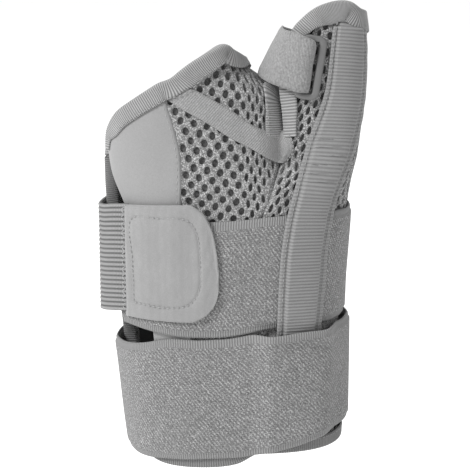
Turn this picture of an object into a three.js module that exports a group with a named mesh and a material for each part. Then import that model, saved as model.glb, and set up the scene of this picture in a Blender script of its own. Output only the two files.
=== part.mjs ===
import * as THREE from 'three'
import { mergeVertices } from 'three/addons/utils/BufferGeometryUtils.js'

// A thumb spica splint for the left hand, in the form it has when worn, in millimetres.
// +Z runs from the forearm to the fingertips, -Y is the side towards the viewer of the
// photograph, +X is the thumb's side. The origin is the middle of the wrist.

// Driving sizes
const SPAN = 100
const TALL = 200
const MESH = 2.2
const PLUSH = 2.8
const GAP = 0.3
const SEAM_GAP = 0.5
const CHANNEL_GAP = 0.6
const BINDING = 0.9
const TOP_BINDING_WIDTH = 8
const WEB_BINDING_WIDTH = 6.2
const HEM_BINDING_WIDTH = 5
const ELASTIC = 1.8
const SELVEDGE = 1.2
const SELVEDGE_WIDTH = 1.8
const WEBBING = 1.5
const TAB = 1.8
const TAPE_EDGE = 1.1
const TAPE_RIB = 2.4
const THUMB_STRAP = 1.5
const RING_TALL = 28
const RING_WIDE = 11.6
const RING_BAR = 3.4
const RING_THICK = 2.4
const RING_CORNER = 3.6
const BOXINESS = 0.25

// The body below the thumb and the palm tube above it: how far left, right and to the
// front and back its outside reaches at each height, as shares of SPAN and TALL
const PALM = [
  { up: -0.32, left: -0.435, right: 0.470, depth: 0.262 },
  { up: -0.25, left: -0.450, right: 0.478, depth: 0.265 },
  { up: -0.12, left: -0.488, right: 0.488, depth: 0.270 },
  { up: 0.00, left: -0.505, right: 0.475, depth: 0.278 },
  { up: 0.10, left: -0.530, right: 0.478, depth: 0.290 },
  { up: 0.20, left: -0.555, right: 0.488, depth: 0.305 },
  { up: 0.285, left: -0.570, right: 0.500, depth: 0.315 },
  { up: 0.35, left: -0.575, right: 0.370, depth: 0.312 },
  { up: 0.42, left: -0.575, right: 0.255, depth: 0.292 },
  { up: 0.465, left: -0.575, right: 0.243, depth: 0.275 },
  { up: 0.515, left: -0.572, right: 0.225, depth: 0.260 },
  { up: 0.545, left: -0.568, right: 0.200, depth: 0.252 },
  { up: 0.565, left: -0.563, right: 0.165, depth: 0.246 },
  { up: 0.590, left: -0.555, right: 0.092, depth: 0.240 },
  { up: 0.605, left: -0.552, right: 0.052, depth: 0.236 },
  { up: 0.625, left: -0.545, right: 0.030, depth: 0.230 },
  { up: 0.660, left: -0.535, right: 0.012, depth: 0.220 },
  { up: 0.700, left: -0.525, right: -0.005, depth: 0.210 },
]

// The thumb's tube: the lines along its cloth start at the body's hem. Up to THUMB_START it
// lies in the body's own surface, and from there to FORK it rises out of it.
const THUMB_START = 0.285
const FORK = 0.42
const THUMB = [
  { up: -0.32, left: -0.300 },
  { up: 0.00, left: -0.260 },
  { up: 0.15, left: -0.180 },
  { up: 0.285, left: -0.060 },
  { up: 0.35, left: 0.060 },
  { up: 0.42, left: 0.165 },
  { up: 0.465, left: 0.158 },
  { up: 0.515, left: 0.145 },
  { up: 0.565, left: 0.140 },
  { up: 0.600, left: 0.148 },
  { up: 0.650, left: 0.185 },
  { up: 0.700, left: 0.228 },
  { up: 0.760, left: 0.270 },
]
const THUMB_RIGHT = [
  { up: 0.285, right: 0.500 },
  { up: 0.35, right: 0.519 },
  { up: 0.385, right: 0.533 },
  { up: 0.42, right: 0.548 },
  { up: 0.515, right: 0.568 },
  { up: 0.565, right: 0.574 },
  { up: 0.650, right: 0.578 },
  { up: 0.700, right: 0.564 },
  { up: 0.760, right: 0.545 },
]
const THUMB_DEPTH = [
  { up: 0.285, depth: 0.262 },
  { up: 0.35, depth: 0.225 },
  { up: 0.42, depth: 0.200 },
  { up: 0.50, depth: 0.172 },
  { up: 0.60, depth: 0.155 },
  { up: 0.70, depth: 0.140 },
  { up: 0.76, depth: 0.122 },
]

// The seam between palm and thumb, front and back alike
const SEAM = [
  { across: 0.150, up: -0.30 },
  { across: 0.150, up: 0.00 },
  { across: 0.138, up: 0.15 },
  { across: 0.117, up: 0.285 },
  { across: 0.158, up: 0.35 },
  { across: 0.206, up: 0.42 },
]

// Edges of the cloth panels, as shares of SPAN across and TALL up
const PANEL_LEFT = [
  { across: -0.400, up: -0.264 },
  { across: -0.385, up: -0.150 },
  { across: -0.362, up: 0.020 },
  { across: -0.415, up: 0.170 },
  { across: -0.484, up: 0.325 },
  { across: -0.535, up: 0.385 },
  { across: -0.552, up: 0.435 },
]
const PANEL_TOP = [
  { across: -0.552, up: 0.435 },
  { across: -0.548, up: 0.468 },
  { across: -0.510, up: 0.512 },
  { across: -0.448, up: 0.541 },
  { across: -0.362, up: 0.574 },
  { across: -0.275, up: 0.592 },
]
const PANEL_SEAM = [
  { across: 0.098, up: -0.252 },
  { across: -0.120, up: -0.120 },
  { across: -0.214, up: 0.020 },
  { across: -0.255, up: 0.300 },
  { across: -0.272, up: 0.480 },
  { across: -0.275, up: 0.592 },
]
const LOBE_HEM = [
  { across: -0.400, up: -0.264 },
  { across: -0.345, up: -0.282 },
  { across: -0.182, up: -0.287 },
  { across: 0.000, up: -0.277 },
  { across: 0.098, up: -0.252 },
]
const MESH_TOP = [
  { across: -0.275, up: 0.592 },
  { across: -0.170, up: 0.630 },
  { across: -0.060, up: 0.659 },
  { across: -0.038, up: 0.661 },
  { across: -0.018, up: 0.656 },
]
const WEB_EDGE = [
  { across: 0.202, up: 0.420 },
  { across: 0.196, up: 0.440 },
  { across: 0.192, up: 0.465 },
  { across: 0.184, up: 0.515 },
  { across: 0.172, up: 0.545 },
]
const WEB_TOP = 0.561
const CREST = 0.645
const THUMB_EDGE = [
  { across: 0.210, up: 0.420 },
  { across: 0.219, up: 0.440 },
  { across: 0.229, up: 0.465 },
  { across: 0.222, up: 0.515 },
  { across: 0.210, up: 0.565 },
  { across: 0.222, up: 0.630 },
  { across: 0.262, up: 0.690 },
]
const THUMB_TOP = [
  { across: 0.262, up: 0.690 },
  { across: 0.300, up: 0.716 },
  { across: 0.350, up: 0.738 },
  { across: 0.430, up: 0.752 },
  { across: 0.490, up: 0.751 },
  { across: 0.530, up: 0.735 },
]

// The stay tape's two edges on the front, bottom to top
const TAPE = [
  { up: -0.223, left: 0.180, right: 0.362 },
  { up: 0.060, left: 0.182, right: 0.366 },
  { up: 0.145, left: 0.187, right: 0.378 },
  { up: 0.237, left: 0.196, right: 0.386 },
  { up: 0.280, left: 0.212, right: 0.402 },
  { up: 0.317, left: 0.226, right: 0.414 },
  { up: 0.350, left: 0.247, right: 0.436 },
  { up: 0.390, left: 0.280, right: 0.484 },
  { up: 0.440, left: 0.303, right: 0.522 },
  { up: 0.488, left: 0.336, right: 0.544 },
  { up: 0.542, left: 0.379, right: 0.561 },
  { up: 0.600, left: 0.400, right: 0.565 },
  { up: 0.678, left: 0.414, right: 0.562 },
  { up: 0.706, left: 0.426, right: 0.548 },
]

// The lower and upper edge of the diagonal band, the patch at the foot of the thumb's web
// and the hook tab
const DIAGONAL = [
  { low: { across: -0.258, up: 0.534 }, high: { across: -0.218, up: 0.561 } },
  { low: { across: -0.130, up: 0.497 }, high: { across: -0.110, up: 0.536 } },
  { low: { across: -0.020, up: 0.458 }, high: { across: -0.010, up: 0.503 } },
  { low: { across: 0.088, up: 0.422 }, high: { across: 0.086, up: 0.470 } },
]
const PATCH = [
  { up: 0.406, left: 0.180, right: 0.225 },
  { up: 0.417, left: 0.125, right: 0.256 },
  { up: 0.440, left: 0.102, right: 0.276 },
  { up: 0.460, left: 0.096, right: 0.273 },
]
const HOOK_TAB = [
  { across: -0.478, low: 0.067, high: 0.323 },
  { across: -0.330, low: 0.064, high: 0.328 },
  { across: -0.200, low: 0.063, high: 0.331 },
  { across: -0.140, low: 0.075, high: 0.315 },
  { across: -0.100, low: 0.095, high: 0.278 },
  { across: -0.080, low: 0.115, high: 0.230 },
  { across: -0.070, low: 0.140, high: 0.180 },
]

// The thumb strap's foot and head edges, from its sewn tail under the ring's bar, through the
// slot and over the bar: from the ring's place, as shares of RING_WIDE, RING_WIDE and RING_TALL
const STRAP_AT_RING = [
  { foot: [-0.431, 0.108, -0.361], head: [-0.250, 0.297, 0.300] },
  { foot: [-0.259, 0.091, -0.364], head: [-0.026, 0.254, 0.321] },
  { foot: [-0.112, -0.013, -0.371], head: [0.164, 0.159, 0.354] },
  { foot: [-0.086, -0.159, -0.375], head: [0.190, 0.013, 0.354] },
  { foot: [-0.198, -0.306, -0.375], head: [0.078, -0.151, 0.357] },
  { foot: [-0.491, -0.366, -0.361], head: [-0.216, -0.185, 0.379] },
]
// and on round the open side of the thumb to the back, as shares of SPAN, SPAN and TALL
const STRAP_ROUND_THUMB = [
  { foot: [0.215, -0.231, 0.577], head: [0.264, -0.207, 0.686] },
  { foot: [0.154, -0.197, 0.585], head: [0.228, -0.172, 0.694] },
  { foot: [0.112, -0.114, 0.592], head: [0.210, -0.100, 0.697] },
  { foot: [0.102, -0.030, 0.594], head: [0.208, -0.025, 0.697] },
  { foot: [0.116, 0.050, 0.594], head: [0.212, 0.050, 0.693] },
  { foot: [0.152, 0.135, 0.588], head: [0.222, 0.128, 0.685] },
  { foot: [0.210, 0.202, 0.572], head: [0.266, 0.194, 0.674] },
  { foot: [0.275, 0.220, 0.563], head: [0.324, 0.210, 0.664] },
  { foot: [0.345, 0.202, 0.556], head: [0.385, 0.202, 0.656] },
]
const RING_PLACE = { across: 0.323, depth: -0.2015, up: 0.62 }
const RING_LEAN = { across: 0.16, depth: 0.105 }
const RING_TILT = 0.1
// The straps' edges at the middle of their course, as shares of TALL
const STRAP_LEVELS = {
  middleLow: 0.045, middleHigh: 0.3,
  lowerLow: -0.26, lowerHigh: -0.0325,
  webbingLow: 0.0465, webbingHigh: 0.297,
}
const STRAP_APART = 0.7
const TAPE_OFF = 0.9
const HEM_LEVEL = -0.252
const BACK_DROP = 0.06
const CROSSING = 1.12
const BACK_EDGE = 1.95

// A smooth line through the rows of a table: the value of one column against another
function along(rows, by, of) {
  const slope = (a, b) => (b[of] - a[of]) / (b[by] - a[by])
  const slopes = rows.map((row, i) => {
    if (i === 0) return slope(rows[0], rows[1])
    if (i === rows.length - 1) return slope(rows[i - 1], row)
    const before = slope(rows[i - 1], row)
    const after = slope(row, rows[i + 1])
    return before * after <= 0 ? 0 : 2 * before * after / (before + after)
  })
  return value => {
    const last = rows.length - 1
    if (value <= rows[0][by]) return rows[0][of] + slopes[0] * (value - rows[0][by])
    if (value >= rows[last][by]) return rows[last][of] + slopes[last] * (value - rows[last][by])
    const i = rows.findIndex((row, n) => n < last && value < rows[n + 1][by])
    const width = rows[i + 1][by] - rows[i][by]
    const t = (value - rows[i][by]) / width
    const a = rows[i][of] * (1 + 2 * t) * (1 - t) ** 2 + rows[i + 1][of] * t * t * (3 - 2 * t)
    const b = slopes[i] * t * (1 - t) ** 2 - slopes[i + 1] * t * t * (1 - t)
    return a + b * width
  }
}

function ease(from, to, value) {
  const t = THREE.MathUtils.clamp((value - from) / (to - from), 0, 1)
  return t * t * (3 - 2 * t)
}

// A tube whose section is a slightly boxed oval. Its turn runs from 0 at the left over the
// front to 1 at the right and over the back to 2, its height z is in millimetres.
class Tube {
  constructor(left, right, depth) {
    this.left = left
    this.right = right
    this.depth = depth
  }
  middle(z) {
    return (this.left(z) + this.right(z)) / 2
  }
  half(z) {
    return (this.right(z) - this.left(z)) / 2
  }
  at(turn, z) {
    const c = Math.cos(Math.PI * turn)
    const s = Math.sin(Math.PI * turn)
    const x = this.middle(z) - this.half(z) * c
    const y = -this.depth(z) * s * (1 + BOXINESS * c * c)
    return new THREE.Vector3(x, y, z)
  }
  axes(turn, z) {
    const e = 1e-3
    const round = this.at(turn + e, z).sub(this.at(turn - e, z)).divideScalar(2 * e)
    const rise = this.at(turn, z + e).sub(this.at(turn, z - e)).divideScalar(2 * e)
    const out = new THREE.Vector3().crossVectors(round, rise).normalize()
    return { round, rise, out }
  }
  // A point at a distance outside the tube
  off(turn, z, distance) {
    return this.at(turn, z).addScaledVector(this.axes(turn, z).out, distance)
  }
  front(x, z) {
    const share = THREE.MathUtils.clamp((this.middle(z) - x) / this.half(z), -1, 1)
    return Math.acos(share) / Math.PI
  }
  // How far the oval stands out at x
  reach(x, z) {
    const c = THREE.MathUtils.clamp((this.middle(z) - x) / this.half(z), -1, 1)
    return this.depth(z) * Math.sqrt(1 - c * c) * (1 + BOXINESS * c * c)
  }
}

const mm = column => (rows => {
  const line = along(rows, 'up', column)
  return z => SPAN * line(z / TALL)
})

const palm = new Tube(mm('left')(PALM), mm('right')(PALM), mm('depth')(PALM))

const bodyRight = z => (z < THUMB_START * TALL ? palm.right(z) : mm('right')(THUMB_RIGHT)(z))
const bodyDepth = z => palm.depth(Math.min(z, THUMB_START * TALL))
const undivided = new Tube(palm.left, bodyRight, bodyDepth)
const seamAcross = along(SEAM, 'up', 'across')
const seamX = z => SPAN * seamAcross(z / TALL)

// The thumb's tube rises out of the undivided body and meets the palm's tube at the seam
class ThumbTube extends Tube {
  blended(own, x, z) {
    const share = ease(THUMB_START * TALL, FORK * TALL, z)
    return share * own + (1 - share) * undivided.reach(x, z)
  }
  scale(z) {
    const low = Math.min(z, FORK * TALL)
    const x = seamX(low)
    return palm.reach(x, low) / this.blended(this.reach(x, low), x, low)
  }
  depthAt(x, z) {
    return this.scale(z) * this.blended(this.reach(x, z), x, z)
  }
  at(turn, z) {
    const point = super.at(turn, z)
    const depth = this.scale(z) * this.blended(Math.abs(point.y), point.x, z)
    point.y = point.y > 0 ? depth : -depth
    return point
  }
}

const thumb = new ThumbTube(mm('left')(THUMB), bodyRight, mm('depth')(THUMB_DEPTH))

// Points of a table on the front or the back of a tube, as turns and heights
function onFront(tube, rows) {
  return rows.map(row => {
    const z = row.up * TALL
    return { turn: tube.front(row.across * SPAN, z), z }
  })
}
function onBack(points, drop = () => 0) {
  return points.map(point => ({ turn: 2 - point.turn, z: point.z - drop(point) }))
}

// A line through turn and height points, smooth, read by its share of length
function edgeLine(points) {
  const stretched = points.map(point => new THREE.Vector3(point.turn * SPAN, point.z, 0))
  const curve = new THREE.CatmullRomCurve3(stretched, false, 'centripetal')
  curve.arcLengthDivisions = 400
  return share => {
    const point = curve.getPointAt(share)
    return { turn: point.x / SPAN, z: point.y }
  }
}

// The seam between palm and thumb as a line on either tube, its points even in height
function seamLine(tube, back) {
  return share => {
    const z = THREE.MathUtils.lerp(HEM_LEVEL, FORK, share) * TALL
    const turn = tube.front(seamX(z), z)
    return { turn: back ? 2 - turn : turn, z }
  }
}

// Several lines end to end, each with its own number of rows, moved to the right of their
// course by the seam gap
function joined(tube, distance, ...parts) {
  const total = parts.reduce((sum, part) => sum + part.rows, 0)
  const line = share => {
    let row = share * total
    const last = parts.length - 1
    const i = parts.findIndex((part, n) => {
      if (n === last || row <= part.rows) return true
      row -= part.rows
      return false
    })
    return parts[i].line(THREE.MathUtils.clamp(row / parts[i].rows, 0, 1))
  }
  return share => {
    const ahead = line(Math.min(1, share + 1e-3))
    const behind = line(Math.max(0, share - 1e-3))
    const here = line(share)
    const round = tube.axes(here.turn, here.z).round.length()
    const run = new THREE.Vector2((ahead.turn - behind.turn) * round, ahead.z - behind.z).normalize()
    return { turn: here.turn + run.y * distance / round, z: here.z - run.x * distance }
  }
}

// The body made of points and triangles, its faces turned out
function body(points, triangles) {
  let volume = 0
  for (const [a, b, c] of triangles) {
    volume += points[a].dot(new THREE.Vector3().crossVectors(points[b], points[c]))
  }
  const order = volume < 0 ? triangles.map(([a, b, c]) => [a, c, b]) : triangles
  const geometry = new THREE.BufferGeometry()
  const flat = points.flatMap(point => [point.x, point.y, point.z])
  geometry.setAttribute('position', new THREE.Float32BufferAttribute(flat, 3))
  geometry.setIndex(order.flat())
  const welded = mergeVertices(geometry, 1e-4)
  welded.computeVertexNormals()
  return welded
}

// A wall between an outer and an inner surface, each a function of two shares
function wall(columns, rows, outer, inner) {
  const points = []
  const place = (u, v) => u * (rows + 1) + v
  for (const surface of [outer, inner]) {
    for (let u = 0; u <= columns; u++) {
      for (let v = 0; v <= rows; v++) points.push(surface(u / columns, v / rows))
    }
  }
  const half = (columns + 1) * (rows + 1)
  const triangles = []
  const quad = (a, b, c, d) => triangles.push([a, b, c], [a, c, d])
  for (let u = 0; u < columns; u++) {
    for (let v = 0; v < rows; v++) {
      const [a, b, c, d] = [place(u, v), place(u + 1, v), place(u + 1, v + 1), place(u, v + 1)]
      quad(a, b, c, d)
      quad(half + a, half + d, half + c, half + b)
    }
  }
  const rim = []
  for (let u = 0; u < columns; u++) rim.push(place(u, 0))
  for (let v = 0; v < rows; v++) rim.push(place(columns, v))
  for (let u = columns; u > 0; u--) rim.push(place(u, rows))
  for (let v = rows; v > 0; v--) rim.push(place(0, v))
  rim.forEach((a, i) => {
    const b = rim[(i + 1) % rim.length]
    quad(a, half + a, half + b, b)
  })
  return body(points, triangles)
}

// A closed section carried along stations, with its two ends capped
function carried(stations, section) {
  const size = section.length
  const points = stations.flatMap(station => section.map(([a, b]) => station(a, b)))
  const triangles = []
  for (let n = 0; n < stations.length - 1; n++) {
    for (let k = 0; k < size; k++) {
      const a = n * size + k
      const b = n * size + (k + 1) % size
      triangles.push([a, b, b + size], [a, b + size, a + size])
    }
  }
  const outline = section.map(([a, b]) => new THREE.Vector2(a, b))
  const turned = THREE.ShapeUtils.isClockWise(outline)
  const last = (stations.length - 1) * size
  for (const [a, b, c] of THREE.ShapeUtils.triangulateShape(outline, [])) {
    const front = turned ? [a, b, c] : [a, c, b]
    triangles.push(front, [last + front[0], last + front[2], last + front[1]])
  }
  return body(points, triangles)
}

// A panel of cloth between four edges on a tube, its outside at a level above the tube
function panel(tube, edges, columns, rows, level, thick) {
  const { left, right, bottom, top } = edges
  const lerp = THREE.MathUtils.lerp
  const spot = (u, v) => {
    const [l, r, b, t] = [left(v), right(v), bottom(u), top(u)]
    const ends = [bottom(0), bottom(1), top(0), top(1)]
    const blend = key => {
      const bow = b[key] - lerp(ends[0][key], ends[1][key], u)
      const arch = t[key] - lerp(ends[2][key], ends[3][key], u)
      return lerp(l[key], r[key], u) + lerp(bow, arch, v)
    }
    return [blend('turn'), blend('z')]
  }
  const outer = (u, v) => tube.off(...spot(u, v), level)
  const inner = (u, v) => tube.off(...spot(u, v), level - thick)
  return wall(columns, rows, outer, inner)
}

// Binding folded over an edge: a channel whose section is measured into the panel and out
function binding(tube, line, count, width, inwards, shape = () => width) {
  const low = -MESH - CHANNEL_GAP
  const high = PLUSH - MESH + CHANNEL_GAP
  const back = CHANNEL_GAP + BINDING
  const section = [
    [1, high], [1, high + BINDING], [0.1, high + BINDING], [-1, high + BINDING * 0.4],
    [-1, low - BINDING * 0.4], [0.1, low - BINDING], [1, low - BINDING], [1, low],
    [-CHANNEL_GAP / back, low], [-CHANNEL_GAP / back, high],
  ]
  const stations = []
  for (let n = 0; n <= count; n++) {
    const share = n / count
    const here = line(share)
    const ahead = line(Math.min(1, share + 1e-3))
    const behind = line(Math.max(0, share - 1e-3))
    const { round, rise, out } = tube.axes(here.turn, here.z)
    const run = round.clone().multiplyScalar(ahead.turn - behind.turn)
    run.addScaledVector(rise, ahead.z - behind.z).normalize()
    const side = new THREE.Vector3().crossVectors(out, run).multiplyScalar(inwards)
    const [rr, rs, ss] = [round.dot(round), round.dot(rise), rise.dot(rise)]
    const [rd, sd] = [round.dot(side), rise.dot(side)]
    const under = rr * ss - rs * rs
    const turnStep = (rd * ss - sd * rs) / under
    const riseStep = (sd * rr - rd * rs) / under
    stations.push((a, level) => {
      const b = a > 0 ? a * shape(share) : a * back
      return tube.off(here.turn + turnStep * b, here.z + riseStep * b, level)
    })
  }
  return carried(stations, section)
}

// A band that lies round a tube between two heights, with thin selvedges at its edges
function band(tube, from, to, count, heights, level, thick, edge, edgeWidth) {
  const stations = []
  for (let n = 0; n <= count; n++) {
    const turn = from + (to - from) * n / count
    const { low, high } = heights(turn)
    stations.push((height, out) => {
      const share = height > 0.5 ? high - (1 - height) * (high - low) : low + height * (high - low)
      return tube.off(turn, share, level(turn, share) + out)
    })
  }
  const { low, high } = heights((from + to) / 2)
  const hem = edgeWidth / (high - low)
  const section = [
    [0, 0], [1 / 3, 0], [2 / 3, 0], [1, 0],
    [1, edge], [1 - hem, edge], [1 - hem * 1.3, thick],
    [2 / 3, thick], [1 / 3, thick], [hem * 1.3, thick], [hem, edge], [0, edge],
  ]
  return carried(stations, section)
}

// Looks of the pieces, as colour, roughness and metalness
const looks = {
  mesh: { color: 0xb9b9b9, roughness: 0.95, metalness: 0 },
  plush: { color: 0xa6a6a6, roughness: 1, metalness: 0 },
  backing: { color: 0x8f8f8f, roughness: 1, metalness: 0 },
  binding: { color: 0xb4b4b4, roughness: 0.9, metalness: 0 },
  elastic: { color: 0xababab, roughness: 0.95, metalness: 0 },
  webbing: { color: 0xa2a2a2, roughness: 0.85, metalness: 0 },
  tab: { color: 0xa9a9a9, roughness: 1, metalness: 0 },
  tape: { color: 0xa0a0a0, roughness: 0.9, metalness: 0 },
  strap: { color: 0x9c9c9c, roughness: 0.9, metalness: 0 },
  plastic: { color: 0x8a8a8a, roughness: 0.4, metalness: 0 },
}

const splint = new THREE.Group()

function add(name, geometry, look) {
  const mesh = new THREE.Mesh(geometry, new THREE.MeshStandardMaterial(looks[look]))
  mesh.name = name
  splint.add(mesh)
  return mesh
}

// The cloth walls of the front, the back and the thumb
const drop = point => BACK_DROP * TALL * ease(0.35 * TALL, 0.62 * TALL, point.z)
const frontLeft = onFront(palm, PANEL_LEFT)
const frontTop = onFront(palm, PANEL_TOP)
const frontSeam = onFront(palm, PANEL_SEAM)
const lobeHem = onFront(palm, LOBE_HEM)
const crest = [
  { turn: 1, z: CREST * TALL },
  { turn: CROSSING, z: (CREST - 0.008) * TALL },
]
const meshTop = [...onFront(palm, MESH_TOP), ...crest]
const webFront = onFront(palm, WEB_EDGE)
const webTop = [{ turn: 1, z: WEB_TOP * TALL }]
const webEnd = { turn: CROSSING, z: (WEB_TOP - 0.015) * TALL }
const seamFront = onFront(palm, SEAM)
const hemAt = turn => ({ turn, z: HEM_LEVEL * TALL })
const hemStart = onFront(palm, [PANEL_SEAM[0]])[0]
const hemSeam = { turn: palm.front(seamX(HEM_LEVEL * TALL), HEM_LEVEL * TALL), z: HEM_LEVEL * TALL }
const thumbSeam = onFront(thumb, SEAM)
const thumbEdge = onFront(thumb, THUMB_EDGE)
const thumbTop = onFront(thumb, THUMB_TOP)
const thumbCrest = [{ turn: 1, z: 0.7 * TALL }]
const thumbBackTop = [
  { turn: 1.25, z: 0.688 * TALL },
  { turn: 1.5, z: 0.684 * TALL },
  { turn: 1.66, z: 0.675 * TALL },
]
const thumbBackEdge = [
  { turn: 1.76, z: 0.65 * TALL },
  ...onBack(thumbEdge).slice(0, 5).reverse(),
]

const SEAM_ROWS = 16
const WEB_ROWS = 8
const CREST_ROWS = 2
const palmRows = SEAM_ROWS + WEB_ROWS + CREST_ROWS
add('front_side_panel', panel(palm, {
  left: edgeLine(frontLeft),
  right: joined(palm, -SEAM_GAP / 2, { line: edgeLine(frontSeam), rows: palmRows }),
  bottom: edgeLine(lobeHem),
  top: edgeLine(frontTop),
}, 6, palmRows, PLUSH - MESH, PLUSH), 'plush')

const webSide = [seamFront[seamFront.length - 1], ...webFront.slice(1), ...webTop, webEnd]
add('front_palm_mesh', panel(palm, {
  left: joined(palm, SEAM_GAP / 2, { line: edgeLine(frontSeam), rows: palmRows }),
  right: joined(palm, -SEAM_GAP / 2,
    { line: seamLine(palm, false), rows: SEAM_ROWS },
    { line: edgeLine(webSide), rows: WEB_ROWS },
    { line: edgeLine([webEnd, crest[1]]), rows: CREST_ROWS }),
  bottom: edgeLine([hemStart, hemSeam]),
  top: edgeLine(meshTop),
}, 10, palmRows, 0, MESH), 'mesh')

const EDGE_ROWS = 8
const hemThumb = { turn: thumb.front(seamX(hemSeam.z), hemSeam.z), z: hemSeam.z }
const thumbFrontEdge = [thumbSeam[thumbSeam.length - 1], ...thumbEdge.slice(1)]
const thumbRearEdge = [onBack(thumbSeam)[thumbSeam.length - 1], ...[...thumbBackEdge].reverse()]
add('thumb_mesh', panel(thumb, {
  left: joined(thumb, SEAM_GAP / 2,
    { line: seamLine(thumb, false), rows: SEAM_ROWS },
    { line: edgeLine(thumbFrontEdge), rows: EDGE_ROWS }),
  right: joined(thumb, -SEAM_GAP / 2,
    { line: seamLine(thumb, true), rows: SEAM_ROWS },
    { line: edgeLine(thumbRearEdge), rows: EDGE_ROWS }),
  bottom: edgeLine([hemThumb, hemAt(0.8), hemAt(1), hemAt(1.2), onBack([hemThumb])[0]]),
  top: edgeLine([...thumbTop, ...thumbCrest, ...thumbBackTop, thumbBackEdge[0]]),
}, 14, SEAM_ROWS + EDGE_ROWS, 0, MESH), 'mesh')

const backSeam = onBack(frontSeam, drop)
const backTop = [
  crest[1],
  { turn: 1.25, z: 0.600 * TALL },
  { turn: 1.40, z: 0.568 * TALL },
  backSeam[backSeam.length - 1],
]
const backWeb = onBack(webSide.slice(0, -3))
add('back_palm_mesh', panel(palm, {
  left: joined(palm, SEAM_GAP / 2,
    { line: seamLine(palm, true), rows: SEAM_ROWS },
    { line: edgeLine([...backWeb, webEnd]), rows: WEB_ROWS },
    { line: edgeLine([webEnd, crest[1]]), rows: CREST_ROWS }),
  right: joined(palm, -SEAM_GAP / 2, { line: edgeLine(backSeam), rows: palmRows }),
  bottom: edgeLine(onBack([hemSeam, hemStart])),
  top: edgeLine(backTop),
}, 8, palmRows, 0, MESH), 'mesh')

const backCorner = { turn: BACK_EDGE, z: 0.40 * TALL }
const backFoot = { turn: BACK_EDGE, z: HEM_LEVEL * TALL }
const backPanelTop = [
  backSeam[backSeam.length - 1],
  { turn: 1.66, z: 0.510 * TALL },
  { turn: 1.76, z: 0.485 * TALL },
  { turn: 1.86, z: 0.452 * TALL },
  { turn: 1.93, z: 0.42 * TALL },
  backCorner,
]
add('back_side_panel', panel(palm, {
  left: joined(palm, SEAM_GAP / 2, { line: edgeLine(backSeam), rows: palmRows }),
  right: edgeLine([backFoot, { turn: BACK_EDGE, z: 0 }, backCorner]),
  bottom: edgeLine([...onBack([hemStart]), hemAt(1.7), hemAt(1.84), backFoot]),
  top: edgeLine(backPanelTop),
}, 6, palmRows, PLUSH - MESH, PLUSH), 'plush')

// The bindings
const backTopLine = [...backTop.slice(1), ...backPanelTop.slice(1, -1)]
const wholeTop = edgeLine([...frontTop, ...meshTop.slice(1), ...backTopLine])
add('palm_top_binding', binding(palm, wholeTop, 36, TOP_BINDING_WIDTH, -1), 'binding')

const arch = [...webFront.slice(2), ...webTop, ...onBack(webFront.slice(2)).reverse()]
const webLine = arch.map(point => ({ turn: point.turn, z: point.z - 3.2 * GAP }))
add('web_binding', binding(palm, edgeLine(webLine), 16, WEB_BINDING_WIDTH, 1), 'binding')

const thumbLine = [...thumbEdge.slice(2), ...thumbTop.slice(1), ...thumbCrest, ...thumbBackTop]
const thumbWhole = edgeLine([...thumbLine, ...thumbBackEdge.slice(0, -1)])
function thumbWidth(share) {
  return TOP_BINDING_WIDTH * (0.6 + 0.2 * ease(0, 0.1, share) + 0.2 * ease(0.2, 0.3, share))
}
add('thumb_binding',
  binding(thumb, thumbWhole, 34, TOP_BINDING_WIDTH, -1, thumbWidth), 'binding')

const hemLine = edgeLine([
  ...lobeHem, hemSeam, hemAt(0.8), hemAt(1), hemAt(1.25), hemAt(1.5), hemAt(1.75), hemAt(1.92),
])
add('hem_binding', binding(palm, hemLine, 30, HEM_BINDING_WIDTH, 1), 'backing')

const sideLine = edgeLine([
  { turn: BACK_EDGE, z: -0.215 * TALL },
  { turn: BACK_EDGE, z: 0 },
  { turn: BACK_EDGE, z: 0.2 * TALL },
  { turn: BACK_EDGE, z: 0.355 * TALL },
])
add('back_side_binding', binding(palm, sideLine, 8, HEM_BINDING_WIDTH, 1), 'binding')

// The wide straps lie on hoops a little larger than the body, which bridge its open left side
const MIDDLE_LEFT = -0.582
const HOOP_OFF = 1.1
const middleRight = z => bodyRight(z) + HOOP_OFF - 0.1
const middleHoop = new Tube(() => MIDDLE_LEFT * SPAN, middleRight, z => bodyDepth(z) + HOOP_OFF)
const lowerLeft = z => SPAN * THREE.MathUtils.mapLinear(z, -0.29 * TALL, -0.05 * TALL, -0.480, -0.53)
const overHem = z => 1.7 * (1 - ease(-0.225 * TALL, -0.15 * TALL, z))
const lowerHoop = new Tube(lowerLeft, () => 0.508 * SPAN, z => bodyDepth(z) + HOOP_OFF + overHem(z))

const side = turn => -Math.cos(Math.PI * turn)
const forward = turn => Math.sin(Math.PI * turn)

// Heights of the straps' edges round the hoops
function middleHeights(turn) {
  const dip = ease(-0.9, -0.25, side(turn)) * (1 - ease(-0.1, 0.5, side(turn)))
  const low = STRAP_LEVELS.middleLow - 0.022 * dip * ease(0, 0.3, forward(turn))
  const high = STRAP_LEVELS.middleHigh + 0.0025 * side(turn) - 0.009 * forward(turn)
  return { low: low * TALL, high: high * TALL }
}
function lowerHeights(turn) {
  const rise = 0.05 * ease(-1, -0.2, side(turn)) + 0.0225 * ease(-0.2, 1, side(turn))
  const high = Math.min((STRAP_LEVELS.lowerHigh + rise) * TALL, middleHeights(turn).low - STRAP_APART)
  return { low: (STRAP_LEVELS.lowerLow + 0.02 * side(turn)) * TALL, high }
}
function webbingHeights(turn) {
  const front = Math.max(0, forward(turn))
  const back = Math.max(0, -forward(turn))
  const low = STRAP_LEVELS.webbingLow + 0.0485 * front + 0.01 * back
  return { low: low * TALL, high: (STRAP_LEVELS.webbingHigh + 0.045 * front + 0.005 * back) * TALL }
}

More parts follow.
